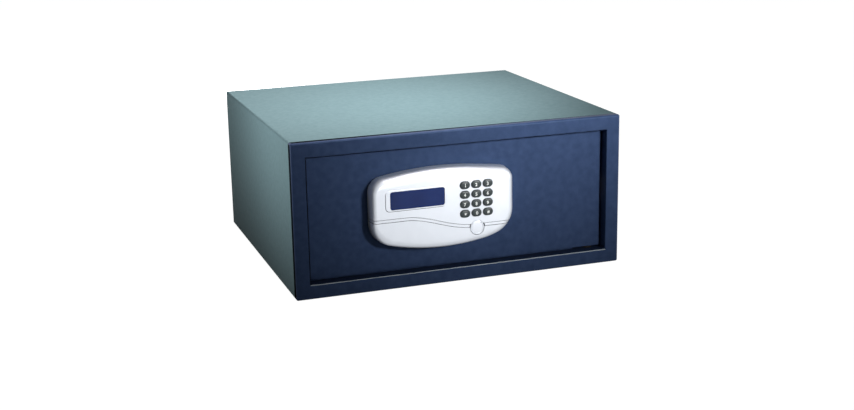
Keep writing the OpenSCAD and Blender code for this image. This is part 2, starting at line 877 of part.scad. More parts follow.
module bolt_carriage() {
    rack_x0 = pinion_x - 1.5*tooth_pitch;
    color("#a9adb2") {
        difference() {
            box([bolt_end_x, bolt_y - flange_d/2, mid_z - flange_h/2],
                [bar_x0, bolt_y + flange_d/2, mid_z + flange_h/2]);
            for (s = [-1, 1]) bar_x(bolt_y, mid_z + s*bolt_dz/2, tail_r, bolt_end_x - cut, bar_x0 + cut);
        }
        slab(bar_y0, bar_y1) difference() {
            union() {
                translate([bar_x0 - carriage_flange_t/2, bar_z0])
                    square([bar_x1 - bar_x0 + carriage_flange_t/2, bar_h]);
                translate([lug_x, bar_z0 - lug_h]) square([lug_w, lug_h + cut]);
                for (k = [0 : rack_teeth - 1]) translate([rack_x0 + k*tooth_pitch, rack_z]) rack_tooth();
            }
            for (x = [stud_left_x, stud_right_x]) translate([x + bolt_throw/2, bar_z])
                oval(bolt_throw + 2*stud_r + 2*slot_gap + slot_over, 2*stud_r + 2*slot_gap);
            for (k = [0, 1]) translate([switch_xs[k] + switch_w/2 + k*bolt_throw, bar_z0 + bar_h])
                square([notch_w, 2*notch_h], center = true);
        }
    }
}

module live_bolts() {
    color("#c3c6ca") for (s = [-1, 1]) translate([0, bolt_y, mid_z + s*bolt_dz/2]) rotate([0, 90, 0]) {
        translate([0, 0, bolt_tip_x]) cylinder(r1 = bolt_r - bolt_edge, r2 = bolt_r, h = bolt_edge);
        translate([0, 0, bolt_tip_x + bolt_edge]) cylinder(r = bolt_r, h = bolt_len - bolt_edge);
        translate([0, 0, bolt_end_x]) cylinder(r = tail_r, h = tail_len);
    }
}

module bolt_nuts() {
    color("#b9bcc0") for (s = [-1, 1]) difference() {
        translate([bar_x0, bolt_y, mid_z + s*bolt_dz/2]) rotate([0, 90, 0])
            cylinder(r = tail_r + 3, h = nut_t, $fn = 6);
        bar_x(bolt_y, mid_z + s*bolt_dz/2, tail_r, bar_x0 - cut, bar_x0 + nut_t + cut);
    }
}

module switch_bracket() {
    color(steel) {
        box([shelf_x0, door_back, shelf_z], [shelf_x1, bolt_y + switch_d/2, shelf_z + shelf_t]);
        box([shelf_x0, door_back, shelf_z + shelf_t], [shelf_x1, door_back + shelf_t, shelf_z + shelf_tab]);
    }
}

module limit_switches() {
    color(dark) for (x = switch_xs) {
        box([x, bolt_y - switch_d/2, switch_z0], [x + switch_w, bolt_y + switch_d/2, shelf_z]);
        translate([x + switch_w/2, bolt_y, switch_z0 - plunger_h + seat_gap])
            cylinder(r = plunger_r, h = plunger_h);
    }
}

// Emergency lock

module override_barrel() {
    color("#a9adb2") difference() {
        union() {
            bar_y(lock_x, lock_z, barrel_r, barrel_y0, barrel_y1);
            bar_y(lock_x, lock_z, barrel_r + barrel_flange, door_y - barrel_flange, door_y);
        }
        bar_y(lock_x, lock_z, plug_r + fit, barrel_y0 - cut, barrel_y1 + cut);
    }
}

module barrel_nut() {
    color(steel) difference() {
        translate([lock_x, door_back + barrel_nut_t, lock_z]) rotate([90, 0, 0])
            cylinder(r = barrel_nut_r, h = barrel_nut_t, $fn = 6);
        bar_y(lock_x, lock_z, barrel_r, door_back - cut, door_back + barrel_nut_t + cut);
    }
}

module override_plug() {
    slot_w = 1.4;
    slot_h = 6.4;
    slot_d = 20;
    color(brass) difference() {
        union() {
            bar_y(lock_x, lock_z, plug_r, barrel_y0 + plug_in, cam_y0);
            bar_y(lock_x, lock_z, plug_r/2, cam_y0, cam_y1 + plug_end);
        }
        slab(barrel_y0 - cut, barrel_y0 + slot_d)
            translate([lock_x, lock_z]) square([slot_w, slot_h], center = true);
    }
}

module override_cam() {
    color(steel) slab(cam_y0, cam_y1) difference() {
        translate([lock_x, lock_z]) rotate(cam_home) {
            circle(plug_r);
            translate([-cam_w/2, 0]) square([cam_w, cam_len]);
        }
        translate([lock_x, lock_z]) circle(plug_r/2);
    }
}

module lock_cover_cap() {
    y0 = pad_y - cap_proud;
    color("#dfe3ea") difference() {
        union() {
            bar_y(lock_x, lock_z, cap_r, y0, y0 + cap_t);
            bar_y(lock_x, lock_z, skirt_r, y0 + cap_t, y0 + cap_t + skirt_len);
        }
        bar_y(lock_x, lock_z, skirt_r - skirt_t, y0 + cap_t, y0 + cap_t + skirt_len + cut);
        difference() {
            bar_y(lock_x, lock_z, cap_groove_r + cap_groove_w, y0 - cut, y0 + cap_groove_w);
            bar_y(lock_x, lock_z, cap_groove_r, y0 - cut, y0 + cap_groove_w + cut);
        }
    }
}

// Keypad

module pad_base() {
    color(dark) difference() {
        union() {
            slab(skirt_y, door_y) polygon(outline(pad_corners, base_in));
            slab(rim_y, skirt_y) difference() {
                polygon(outline(pad_corners, pad_side + seat_gap));
                polygon(outline(pad_corners, pad_side + seat_gap + base_wall));
            }
            for (p = posts) bar_y(p[0], p[1], post_r, board_y + board_t, door_y - base_floor/2);
        }
        for (p = posts) bar_y(p[0], p[1], pad_screw_r, board_y + board_t + post_air, door_y + cut);
        bar_y(lock_x, lock_z, barrel_r + barrel_flange + seat_gap, door_y - base_floor - cut, door_y + cut);
        bar_y(grommet_x, grommet_z, grommet_r + grommet_lip + seat_gap,
            door_y - base_floor - cut, door_y + cut);
    }
}

module pad_screws() {
    color(steel) for (p = posts) difference() {
        union() {
            bar_y(p[0], p[1], pad_screw_r, board_y + board_t + 2*post_air, door_back);
            bar_y(p[0], p[1], pad_head_r, door_back, door_back + pad_head_t);
        }
        cross_slot(p[0], p[1], pad_head_r, door_back + pad_head_t);
    }
}

module pad_circuit_board() {
    color("#2f6b46") slab(board_y, board_y + board_t) difference() {
        translate([board_x, board_z]) round_rect(board_w, board_h, board_r);
        translate([lock_x, lock_z]) circle(barrel_r + barrel_flange);
    }
}

module pcb_parts() {
    y0 = board_y + board_t;
    color("#22252a") {
        for (b = board_boxes) slab(y0, y0 + b[4])
            translate([board_x + b[0], board_z + b[1]]) square([b[2], b[3]], center = true);
        for (b = board_rounds) bar_y(board_x + b[0], board_z + b[1], b[2], y0, y0 + b[3]);
        slab(y0, y0 + plug_d) translate([grommet_x, grommet_z]) square([plug_w, plug_h], center = true);
    }
}

module key_mat() {
    margin = 1;
    corner = 2;
    color("#9aa0a6") {
        slab(board_y - mat_sheet, board_y)
            translate([key_x, key_z + key_dz*(key_rows - 1)/2])
            round_rect(key_dx*key_cols + 2*margin, key_dz*key_rows + margin, corner);
        for (i = [0 : key_cols - 1], j = [0 : key_rows - 1])
            bar_y(key_x + (i - 1)*key_dx, key_z + j*key_dz, dome_r, mat_y, board_y - mat_sheet);
    }
}

module lcd_module() {
    color("#4a5560") difference() {
        slab(pad_in_y + window_flange_t, board_y)
            translate([window_x, window_z]) round_rect(lcd_w, lcd_h, lcd_r);
        slab(pad_in_y, pad_in_y + window_flange_t + lcd_sunk) translate([window_x, window_z])
            square([window_w - 2*lcd_edge, window_h - 2*lcd_edge], center = true);
    }
}

module display_window() {
    color("#23326e") {
        slab(pad_y + window_sunk, pad_in_y)
            translate([window_x, window_z]) round_rect(window_w, window_h, window_r);
        slab(pad_in_y, pad_in_y + window_flange_t) translate([window_x, window_z])
            round_rect(window_w + 2*window_edge, window_h + 2*window_edge, window_r);
    }
}

function smooth(t) = let (s = max(0, min(1, t))) s*s*(3 - 2*s);
band_from = -75;
band_to = 8;
band_steps = 40;
band_x0 = -109;
band_x1 = 50;
function band_z(x) = mid_z + band_high
    + (band_low - band_high)*smooth((x - band_from)/(band_to - band_from));

// The wavy band, widened by grow on each side
module band(grow) {
    xs = [for (k = [0 : band_steps]) band_x0 - grow + (band_x1 - band_x0 + 2*grow)*k/band_steps];
    half = band_w/2 + grow;
    polygon(concat(
        [for (x = xs) [x, band_z(x) - half]],
        [for (k = [band_steps : -1 : 0]) [xs[k], band_z(xs[k]) + half]]
    ));
}

module wave_trim() {
    color("#eef0f5") slab(pad_y, pad_y + band_t) difference() {
        band(0);
        translate([lock_x, lock_z]) circle(cap_r + 4*key_hole_gap);
    }
}

// The twelve key places: [name, column, row from the bottom]
key_places = [
    ["key_star", 0, 0], ["key_0", 1, 0], ["key_hash", 2, 0],
    ["key_7", 0, 1], ["key_8", 1, 1], ["key_9", 2, 1],
    ["key_4", 0, 2], ["key_5", 1, 2], ["key_6", 2, 2],
    ["key_1", 0, 3], ["key_2", 1, 3], ["key_3", 2, 3]
];

module at_key(place) {
    translate([key_x + (place[1] - 1)*key_dx, 0, key_z + place[2]*key_dz]) children();
}

module pad_cover() {
    draft = 0.5;
    roll_steps = 6;
    roll_y = pad_y + roll_d;
    rings = concat(
        [[0, skirt_y], [draft, roll_y]],
        [for (k = [1 : roll_steps]) let (a = 90*k/roll_steps)
            [draft + (roll_w - draft)*(1 - cos(a)), roll_y - roll_d*sin(a)]]
    );
    color("#dfe3ea") difference() {
        loft([for (ring = rings) [for (p = outline(pad_corners, ring[0])) [p[0], ring[1], p[1]]]]);
        slab(step_y, skirt_y + cut) polygon(outline(pad_corners, pad_side));
        slab(pad_in_y, step_y + cut) polygon(outline(pad_corners, front_in));
        for (place = key_places) at_key(place) slab(pad_y - cut, pad_in_y + cut)
            oval(key_w + 2*key_hole_gap, key_h + 2*key_hole_gap);
        slab(pad_y - cut, pad_in_y + cut)
            translate([window_x, window_z]) round_rect(window_w, window_h, window_r);
        slab(pad_y - cut, pad_y + bezel_deep)
            translate([bezel_x, window_z]) round_rect(bezel_w, bezel_h, bezel_r);
        slab(pad_y - cut, pad_y + band_t) band(band_gap);
        bar_y(lock_x, lock_z, cap_r + key_hole_gap, pad_y - cut, pad_y + pad_d);
    }
}

module key(place) {
    color("#3f4a4c") at_key(place) {
        slab(pad_y - key_proud, pad_in_y + key_air) oval(key_w, key_h);
        slab(pad_in_y + key_air, pad_in_y + key_air + key_flange_t)
            oval(key_w + 2*key_flange, key_h + 2*key_flange);
    }
}

// Wiring

module cable_grommet() {
    color(dark) difference() {
        union() {
            bar_y(grommet_x, grommet_z, grommet_r, door_y - grommet_lip_t, door_back + grommet_lip_t);
            for (y = [door_y - grommet_lip_t, door_back])
                bar_y(grommet_x, grommet_z, grommet_r + grommet_lip, y, y + grommet_lip_t);
        }
        bar_y(grommet_x, grommet_z, grommet_bore,
            door_y - grommet_lip_t - cut, door_back + grommet_lip_t + cut);
    }
}

// A smooth curve through hand-chosen points
path_steps = 4;
function curve(p) = let (n = len(p)) concat(
    [for (i = [0 : n - 2], k = [0 : path_steps - 1])
    let (
        t = k/path_steps,
        a = p[max(i - 1, 0)], b = p[i], c = p[i + 1], d = p[min(i + 2, n - 1)]
    )
    0.5*(2*b + (c - a)*t + (2*a - 5*b + 4*c - d)*t*t + (3*b - 3*c + d - a)*t*t*t)],
    [p[n - 1]]
);

// A round wire of radius r along a curve
wire_sides = 8;
wire_side_ref = [0.48, 0.31, -0.82];
module wire(points, r) {
    p = curve(points);
    n = len(p);
    rings = [for (i = [0 : n - 1]) let (
        ahead = unit(p[min(i + 1, n - 1)] - p[max(i - 1, 0)]),
        u = unit(cross(ahead, wire_side_ref)),
        v = cross(ahead, u)
    ) [for (k = [0 : wire_sides - 1]) let (a = 360*k/wire_sides) p[i] + r*(cos(a)*u + sin(a)*v)]];
    loft(rings);
}

// Routes of the loom, in the closed door: each lead's ends run straight into what it connects
lead_r = 1.4;
thin_lead_r = 1;
loom_y = door_back + 7;
lead_in = 6;
tie_y = bolt_y - 1;
tie_z = switch_z0 + 4;
straight = [0, 2, 4];
reset_lead_x = battery_x + box_w/2 - lead_in;
reset_end_y = pan_y - reset_body_d;

function from_plug(dx, dz) = [for (y = [board_y + board_t + plug_d, door_y - 4, door_back + 2])
    [grommet_x + dx, y, grommet_z + dz]];
function into_switch(x) = [for (k = [2 : -1 : 0]) [x - straight[k], tie_y, tie_z]];
function out_of_switch(x) = [for (d = straight) [x + d, tie_y, tie_z]];
function up_to_face(x, y, z) = [for (k = [2 : -1 : 0]) [x, y - straight[k], z]];

motor_lead = concat(
    from_plug(-3, 0),
    [[grommet_x - 8, loom_y, grommet_z - 3],
        [motor_end_x + 20, loom_y + 1, motor_z + 29], [motor_end_x + 16, loom_y + 1, motor_z + 16],
        [motor_end_x - 4, loom_y + 1, motor_z + 8], [motor_end_x - 8, motor_y, motor_z + 3]],
    [for (k = [2 : -1 : 0]) [motor_end_x - straight[k], motor_y, motor_z]]
);
battery_lead = concat(
    from_plug(3, 0),
    [[grommet_x + 6, loom_y, grommet_z + 6], [grommet_x + 12, loom_y, mid_z + 35],
        [grommet_x + 30, loom_y, mid_z + 43], [grommet_x + 70, loom_y, mid_z + 43],
        [battery_x - 56, loom_y, mid_z + 39], [battery_x - 40, loom_y + 3, mid_z + 29],
        [battery_x - 31, box_y0 - 10, mid_z + 20]],
    up_to_face(battery_x - box_w/2 + lead_in, box_y0, mid_z + grommet_up)
);
switch_lead = concat(
    from_plug(1, -2),
    [[grommet_x + 6, loom_y + 3, grommet_z - 1], [switch_xs[0] - 9, tie_y - 2, tie_z]],
    into_switch(switch_xs[0])
);
link_lead = concat(
    out_of_switch(switch_xs[0] + switch_w),
    [[(switch_xs[0] + switch_w + switch_xs[1])/2, tie_y - 2, tie_z + 1]],
    into_switch(switch_xs[1])
);
reset_lead = concat(
    [for (d = straight) [reset_lead_x, box_y0 - d, reset_z]],
    [[(reset_lead_x + reset_x)/2, box_y0 - 8, reset_z]],
    up_to_face(reset_x, reset_end_y, reset_z)
);

module wiring_loom() {
    color("#a5262a") {
        wire(motor_lead, lead_r);
        wire(battery_lead, lead_r);
        wire(switch_lead, thin_lead_r);
        wire(link_lead, thin_lead_r);
        wire(reset_lead, thin_lead_r);
    }
}

// Battery box and reset button

module battery_box() {
    color(dark) difference() {
        union() {
            slab(box_y0, cover_y) translate([battery_x, mid_z]) square([box_w, box_h], center = true);
            slab(pan_y - box_wall, pan_y) translate([battery_x, mid_z])
                square([box_w + 2*box_flange, box_h + 2*rail_w + 2*box_flange], center = true);
            slab(pan_y - box_wall/2, rail_y1) translate([battery_x, mid_z])
                square([box_w, box_h + 2*rail_w], center = true);
        }
        slab(box_y0 + box_wall, rail_y1 + cut) translate([battery_x, mid_z])
            square([box_in_w, box_in_h], center = true);
        slab(cover_y, cover_y + lid_t + 2*lid_air) translate([battery_x, mid_z])
            square([box_w + 2*cut, lid_h + 2*lid_air], center = true);
        slab(cover_y, rail_y1 + cut) translate([battery_x, mid_z])
            square([box_w + 2*cut, box_h], center = true);
    }
}

module battery_contacts() {
    tall = 9;
    color(brass) for (s = [-1, 1], k = [0 : cells - 1]) {
        z = mid_z + (k - (cells - 1)/2)*cell_pitch;
        edge = battery_x + s*box_in_w/2;
        box([min(edge, edge - s*contact_t), box_y0 + box_wall + 2, z - tall/2],
            [max(edge, edge - s*contact_t), box_y0 + box_wall + 2 + tall, z + tall/2]);
    }
}

module batteries() {
    nub_r = 2.7;
    nub_l = 1.5;
    y = box_y0 + box_wall + cell_r;
    color("#55606e") for (k = [0 : cells - 1]) {
        z = mid_z + (k - (cells - 1)/2)*cell_pitch;
        way = k % 2 == 0 ? 1 : -1;
        body_x = battery_x - way*nub_l/2;
        bar_x(y, z, cell_r, body_x - (cell_len - nub_l)/2, body_x + (cell_len - nub_l)/2);
        nub_x = battery_x + way*(cell_len/2 - nub_l/2);
        bar_x(y, z, nub_r, nub_x - nub_l/2, nub_x + nub_l/2);
    }
}

module battery_lid() {
    color("#2c2f34") {
        slab(cover_y + lid_air, cover_y + lid_air + lid_t)
            translate([battery_x, mid_z]) square([lid_w, lid_h], center = true);
        for (k = [0 : lid_ribs - 1])
            slab(cover_y + lid_air + lid_t/2, cover_y + lid_air + lid_t + rib_h)
            translate([battery_x + lid_w/2 - rib_in - rib_pitch*k, mid_z])
            square([rib_w, rib_len], center = true);
    }
}

module reset_switch() {
    color(dark) difference() {
        union() {
            bar_y(reset_x, reset_z, reset_body_r, reset_end_y, cover_y);
            bar_y(reset_x, reset_z, reset_bezel_r, cover_y, cover_y + reset_bezel_t);
            bar_y(reset_x, reset_z, reset_bezel_r, pan_y - reset_nut_t, pan_y);
        }
        bar_y(reset_x, reset_z, reset_r + fit, reset_end_y + reset_floor, cover_y + reset_bezel_t + cut);
    }
}

module reset_button() {
    color("#b3262a") bar_y(reset_x, reset_z, reset_r,
        reset_end_y + reset_floor + reset_travel + seat_gap, cover_y + reset_bezel_t + reset_out);
}

cabinet_shell();
front_frame();
back_panel();
hinge_brackets();
hinge_bushes();
strike_plate();
floor_mat();
door_plate();
door_pan();
inner_cover();
cover_screws();
hinge_blocks();
hinge_pins();
bolt_guides();
guide_studs();
stud_washers();
motor_bracket();
gear_motor();
motor_screws();
switch_bracket();
limit_switches();
battery_box();
battery_contacts();
batteries();
reset_switch();
override_barrel();
barrel_nut();
cable_grommet();
wiring_loom();
pad_base();
pad_screws();
pad_circuit_board();
pcb_parts();
key_mat();
lcd_module();
display_window();
pad_cover();
wave_trim();
bolt_carriage();
live_bolts();
bolt_nuts();
drive_pinion();
override_plug();
override_cam();
lock_cover_cap();
battery_lid();
reset_button();
key(key_places[0]);  // key_star
key(key_places[1]);  // key_0
key(key_places[2]);  // key_hash
key(key_places[3]);  // key_7
key(key_places[4]);  // key_8
key(key_places[5]);  // key_9
key(key_places[6]);  // key_4
key(key_places[7]);  // key_5
key(key_places[8]);  // key_6
key(key_places[9]);  // key_1
key(key_places[10]);  // key_2
key(key_places[11]);  // key_3
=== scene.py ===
# Laptop-size electronic safe: a folded steel cabinet, a recessed door and a moulded keypad.
# Lengths are in metres, in the model's own frame: +Z is up and the door faces -Y.
import math

import bmesh
import bpy
from mathutils import Matrix, Vector, noise
from mathutils.bvhtree import BVHTree


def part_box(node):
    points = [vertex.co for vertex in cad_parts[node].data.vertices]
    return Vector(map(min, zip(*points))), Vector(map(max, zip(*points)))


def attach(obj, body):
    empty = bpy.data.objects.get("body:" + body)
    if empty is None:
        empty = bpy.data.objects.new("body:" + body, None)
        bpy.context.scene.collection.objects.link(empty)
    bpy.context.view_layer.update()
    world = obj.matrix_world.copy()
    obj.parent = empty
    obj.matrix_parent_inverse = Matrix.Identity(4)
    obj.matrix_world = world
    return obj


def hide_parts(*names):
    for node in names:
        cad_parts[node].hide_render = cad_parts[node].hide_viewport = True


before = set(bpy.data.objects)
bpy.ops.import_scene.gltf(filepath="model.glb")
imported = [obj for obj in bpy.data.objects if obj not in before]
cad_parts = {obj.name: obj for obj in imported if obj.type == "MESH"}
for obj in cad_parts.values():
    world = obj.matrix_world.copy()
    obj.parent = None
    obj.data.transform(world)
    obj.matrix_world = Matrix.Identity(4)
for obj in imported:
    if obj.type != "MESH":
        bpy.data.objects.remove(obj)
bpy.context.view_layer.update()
scene = bpy.context.scene
scene.view_settings.view_transform = "Standard"

# Studio: a long lens stands 1.85 m off, 19 degrees to the left of the door and 15 degrees above it.
# One soft lamp lights the door, most at its upper right. Weaker ones hang over the top and beside
# the left wall, and two low ones light the back and the right wall. The floor is pale paper.
camera_azimuth = math.radians(-18.98)
camera_elevation = math.radians(15.025)
camera_roll = math.radians(-1.079)
camera_distance = 1.85322
camera_offset = (0.016257, 0.048416)
focal_length_px = 1372.377
photo_width_px = 854
sensor_mm = 36

to_camera = Vector((math.sin(camera_azimuth) * math.cos(camera_elevation),
                    -math.cos(camera_azimuth) * math.cos(camera_elevation), math.sin(camera_elevation)))
sideways = Vector((math.cos(camera_azimuth), math.sin(camera_azimuth), 0))
above = to_camera.cross(sideways)
right = sideways * math.cos(camera_roll) + above * math.sin(camera_roll)
up = above * math.cos(camera_roll) - sideways * math.sin(camera_roll)
camera_data = bpy.data.cameras.new("camera")
camera_data.sensor_width = sensor_mm
camera_data.lens = focal_length_px * sensor_mm / photo_width_px
camera = bpy.data.objects.new("camera", camera_data)
stand = to_camera * camera_distance + right * camera_offset[0] + up * camera_offset[1]
camera.matrix_world = Matrix.Translation(stand) @ Matrix((right, up, to_camera)).transposed().to_4x4()
scene.collection.objects.link(camera)
scene.camera = camera


def lamp(name, kind, place, aim, size, power, cone=None, tint=(1, 1, 1)):
    """A soft lamp at place that shines towards aim: an AREA lamp, or a SPOT with a cone in degrees."""
    lamp_data = bpy.data.lights.new(name, kind)
    lamp_data.energy = power
    lamp_data.color = tint
    if kind == "SPOT":
        lamp_data.shadow_soft_size = size / 2
        lamp_data.spot_size = math.radians(cone)
        lamp_data.spot_blend = 1
    else:
        lamp_data.size = size
    holder = bpy.data.objects.new(name, lamp_data)
    holder.location = place
    holder.rotation_euler = (Vector(aim) - Vector(place)).to_track_quat("-Z", "Y").to_euler()
    holder.visible_camera = False
    scene.collection.objects.link(holder)


lamp("front_lamp", "SPOT", place=(0.52, -1.32, 0.62), aim=(0.115, -0.18, 0.32), size=0.4, power=200,
     cone=26.5)
lamp("top_lamp", "AREA", place=(0.131, -0.13, 0.637), aim=(-0.03, -0.038, 0.607), size=0.16,
     power=8.6, tint=(1, 0.93, 0.92))
lamp("left_lamp", "AREA", place=(-0.541, -0.09, 0.166), aim=(-0.30, -0.12, 0.606), size=0.12, power=2.2)
lamp("back_lamp", "AREA", place=(0.05, 1.3, 0.10), aim=(0, 0.18, 0.10), size=0.1, power=8)
lamp("right_lamp", "AREA", place=(1.4, 0.10, 0.10), aim=(0.21, 0.02, 0.10), size=0.1, power=8)


def seen_directly(tree):
    """A value that is 1 for camera, glossy and transmission rays, and 0 for the rest."""
    path = tree.nodes.new("ShaderNodeLightPath")
    total = path.outputs["Is Camera Ray"]
    for kind in ("Is Glossy Ray", "Is Transmission Ray"):
        either = tree.nodes.new("ShaderNodeMath")
        either.operation = "MAXIMUM"
        tree.links.new(total, either.inputs[0])
        tree.links.new(path.outputs[kind], either.inputs[1])
        total = either.outputs[0]
    return total


fill_colour = (0.65, 0.88, 1, 1)
fill_level = 0.04
world = bpy.data.worlds.new("studio")
world.use_nodes = True
scene.world = world
tree = world.node_tree
fill = tree.nodes["Background"]
fill.inputs["Color"].default_value = fill_colour
fill.inputs["Strength"].default_value = fill_level
backdrop = tree.nodes.new("ShaderNodeBackground")
backdrop.inputs["Color"].default_value = (1, 1, 1, 1)
choice = tree.nodes.new("ShaderNodeMixShader")
tree.links.new(seen_directly(tree), choice.inputs[0])
tree.links.new(fill.outputs[0], choice.inputs[1])
tree.links.new(backdrop.outputs[0], choice.inputs[2])
tree.links.new(choice.outputs[0], tree.nodes["World Output"].inputs["Surface"])

floor_reach = 12
floor_bounce = (0.08, 0.085, 0.09, 1)
floor_shade = (0.12, 0.12, 0.12, 1)
floor_corners = [(x * floor_reach, y * floor_reach, 0) for x, y in ((-1, -1), (1, -1), (1, 1), (-1, 1))]
floor_mesh = bpy.data.meshes.new("floor")
floor_mesh.from_pydata(floor_corners, [], [(0, 1, 2, 3)])
floor = bpy.data.objects.new("floor", floor_mesh)
scene.collection.objects.link(floor)
floor_paper = bpy.data.materials.new("floor_paper")
floor_paper.use_nodes = True
tree = floor_paper.node_tree
tree.nodes.remove(tree.nodes["Principled BSDF"])
pale = tree.nodes.new("ShaderNodeBsdfDiffuse")
pale.inputs["Color"].default_value = floor_bounce
faint = tree.nodes.new("ShaderNodeBsdfDiffuse")
faint.inputs["Color"].default_value = floor_shade
glow = tree.nodes.new("ShaderNodeEmission")
glow.inputs["Strength"].default_value = 1
white = tree.nodes.new("ShaderNodeAddShader")
tree.links.new(faint.outputs[0], white.inputs[0])
tree.links.new(glow.outputs[0], white.inputs[1])
choice = tree.nodes.new("ShaderNodeMixShader")
tree.links.new(seen_directly(tree), choice.inputs[0])
tree.links.new(pale.outputs[0], choice.inputs[1])
tree.links.new(white.outputs[0], choice.inputs[2])
tree.links.new(choice.outputs[0], tree.nodes["Material Output"].inputs["Surface"])
floor_mesh.materials.append(floor_paper)


# Cabinet: one steel sheet folded round four sides and a welded back panel, powder coated in a
# satin grey-green. The coat has the fine pebble of baked powder and drifts a little in tone.
tone_ends = (0.32, 0.68)  # noise values at which the dark tone ends and the light one is full
patch_detail, grain_detail = 6, 2
pebble_height = 0.6
same_point = 0.000005
flat_within = math.radians(0.3)
sharp_from = math.radians(38)
flat_face_weight = 80


def surface(name, light, dark, patch, roughness, grain, depth, metallic=0.0, specular=0.5,
            stretch=(1, 1, 1), spread=0.06, tint=(1, 1, 1)):
    """A finish in two tones with patches of size patch, over grain of size grain raised by depth. Its
    roughness varies by spread, and stretch draws the pattern out along an axis."""
    material = bpy.data.materials.new(name)
    material.use_nodes = True
    nodes, links = material.node_tree.nodes, material.node_tree.links
    shader = nodes["Principled BSDF"]
    shader.inputs["Metallic"].default_value = metallic
    shader.inputs["Specular IOR Level"].default_value = specular
    shader.inputs["Specular Tint"].default_value = (*tint, 1)
    place = nodes.new("ShaderNodeTexCoord")
    scaled = nodes.new("ShaderNodeMapping")
    scaled.inputs["Scale"].default_value = stretch
    links.new(place.outputs["Object"], scaled.inputs["Vector"])

    def cloud(size, detail):
        texture = nodes.new("ShaderNodeTexNoise")
        texture.inputs["Scale"].default_value = 1 / size
        texture.inputs["Detail"].default_value = detail
        links.new(scaled.outputs["Vector"], texture.inputs["Vector"])
        return texture.outputs["Fac"]

    tone = nodes.new("ShaderNodeValToRGB")
    for end, position, colour in zip(tone.color_ramp.elements, tone_ends, (dark, light)):
        end.position = position
        end.color = (*colour, 1)
    links.new(cloud(patch, patch_detail), tone.inputs["Fac"])
    links.new(tone.outputs["Color"], shader.inputs["Base Color"])
    pebbles = cloud(grain, grain_detail)
    gloss = nodes.new("ShaderNodeMapRange")
    gloss.inputs["To Min"].default_value = roughness - spread
    gloss.inputs["To Max"].default_value = roughness + spread
    links.new(pebbles, gloss.inputs["Value"])
    links.new(gloss.outputs["Result"], shader.inputs["Roughness"])
    bump = nodes.new("ShaderNodeBump")
    bump.inputs["Strength"].default_value = pebble_height
    bump.inputs["Distance"].default_value = depth
    links.new(pebbles, bump.inputs["Height"])
    links.new(bump.outputs["Normal"], shader.inputs["Normal"])
    return material


def dress(name, material, edge=0.0003):
    """Gives a CAD node its finish and, where edge isn't 0, breaks its sharp edges by that much."""
    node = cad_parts[name]
    node.data.materials.clear()
    node.data.materials.append(material)
    if edge:
        if "custom_normal" in node.data.attributes:
            node.data.attributes.remove(node.data.attributes["custom_normal"])
        soften(node, edge)
    return node


def shade(mesh, smooth=True):
    """Shades all faces of a mesh smooth, or each one flat."""
    mesh.polygons.foreach_set("use_smooth", [smooth] * len(mesh.polygons))


def soften(piece, edge):
    """Rounds the sharp edges of a piece, and shades it smooth with its flat faces flat."""
    shade(piece.data)
    merged = piece.modifiers.new("joined", "WELD")
    merged.merge_threshold = same_point
    flat = piece.modifiers.new("flat", "DECIMATE")
    flat.decimate_type = "DISSOLVE"
    flat.angle_limit = flat_within
    rounded = piece.modifiers.new("rounded", "BEVEL")
    rounded.width = edge
    rounded.segments = 2
    rounded.limit_method = "ANGLE"
    rounded.angle_limit = sharp_from
    even = piece.modifiers.new("smooth", "WEIGHTED_NORMAL")
    even.weight = flat_face_weight


wrap_paint = surface("wrap_paint", light=(0.149, 0.233, 0.250), dark=(0.129, 0.206, 0.224), patch=0.006,
                     roughness=0.6, grain=0.0011, depth=0.00005, specular=0.02)
dress("cabinet_shell", wrap_paint, edge=0.0005)
dress("back_panel", wrap_paint, edge=0)


# Front frame: a pressed steel ring welded into the wrap's mouth, with a flange and a reveal behind
# it. It is coated navy, with painted shade on the reveal's floor, down the opening's left edge and
# round its rim where the wrap begins, and a painted highlight along the sill's front edge.
door_paint = surface("door_paint", light=(0.032, 0.053, 0.118), dark=(0.024, 0.041, 0.093), patch=0.009,
                     roughness=0.46, grain=0.0010, depth=0.00004, specular=0.12, tint=(0.5, 0.72, 1))
front_frame = dress("front_frame", door_paint, edge=0)
# A pale painted highlight for the sill's front edge.
painted_highlight = surface("painted_highlight", light=(0.34, 0.39, 0.43), dark=(0.24, 0.28, 0.32), patch=0.012,
                      roughness=0.35, grain=0.0010, depth=0.00002, specular=0.4)
# Near-black painted shade for the rim, where the wrap begins, and for the opening's left edge.
painted_shade = surface("painted_shade", light=(0.009, 0.012, 0.016), dark=(0.006, 0.008, 0.011), patch=0.004,
                      roughness=0.6, grain=0.0008, depth=0.00003, specular=0)
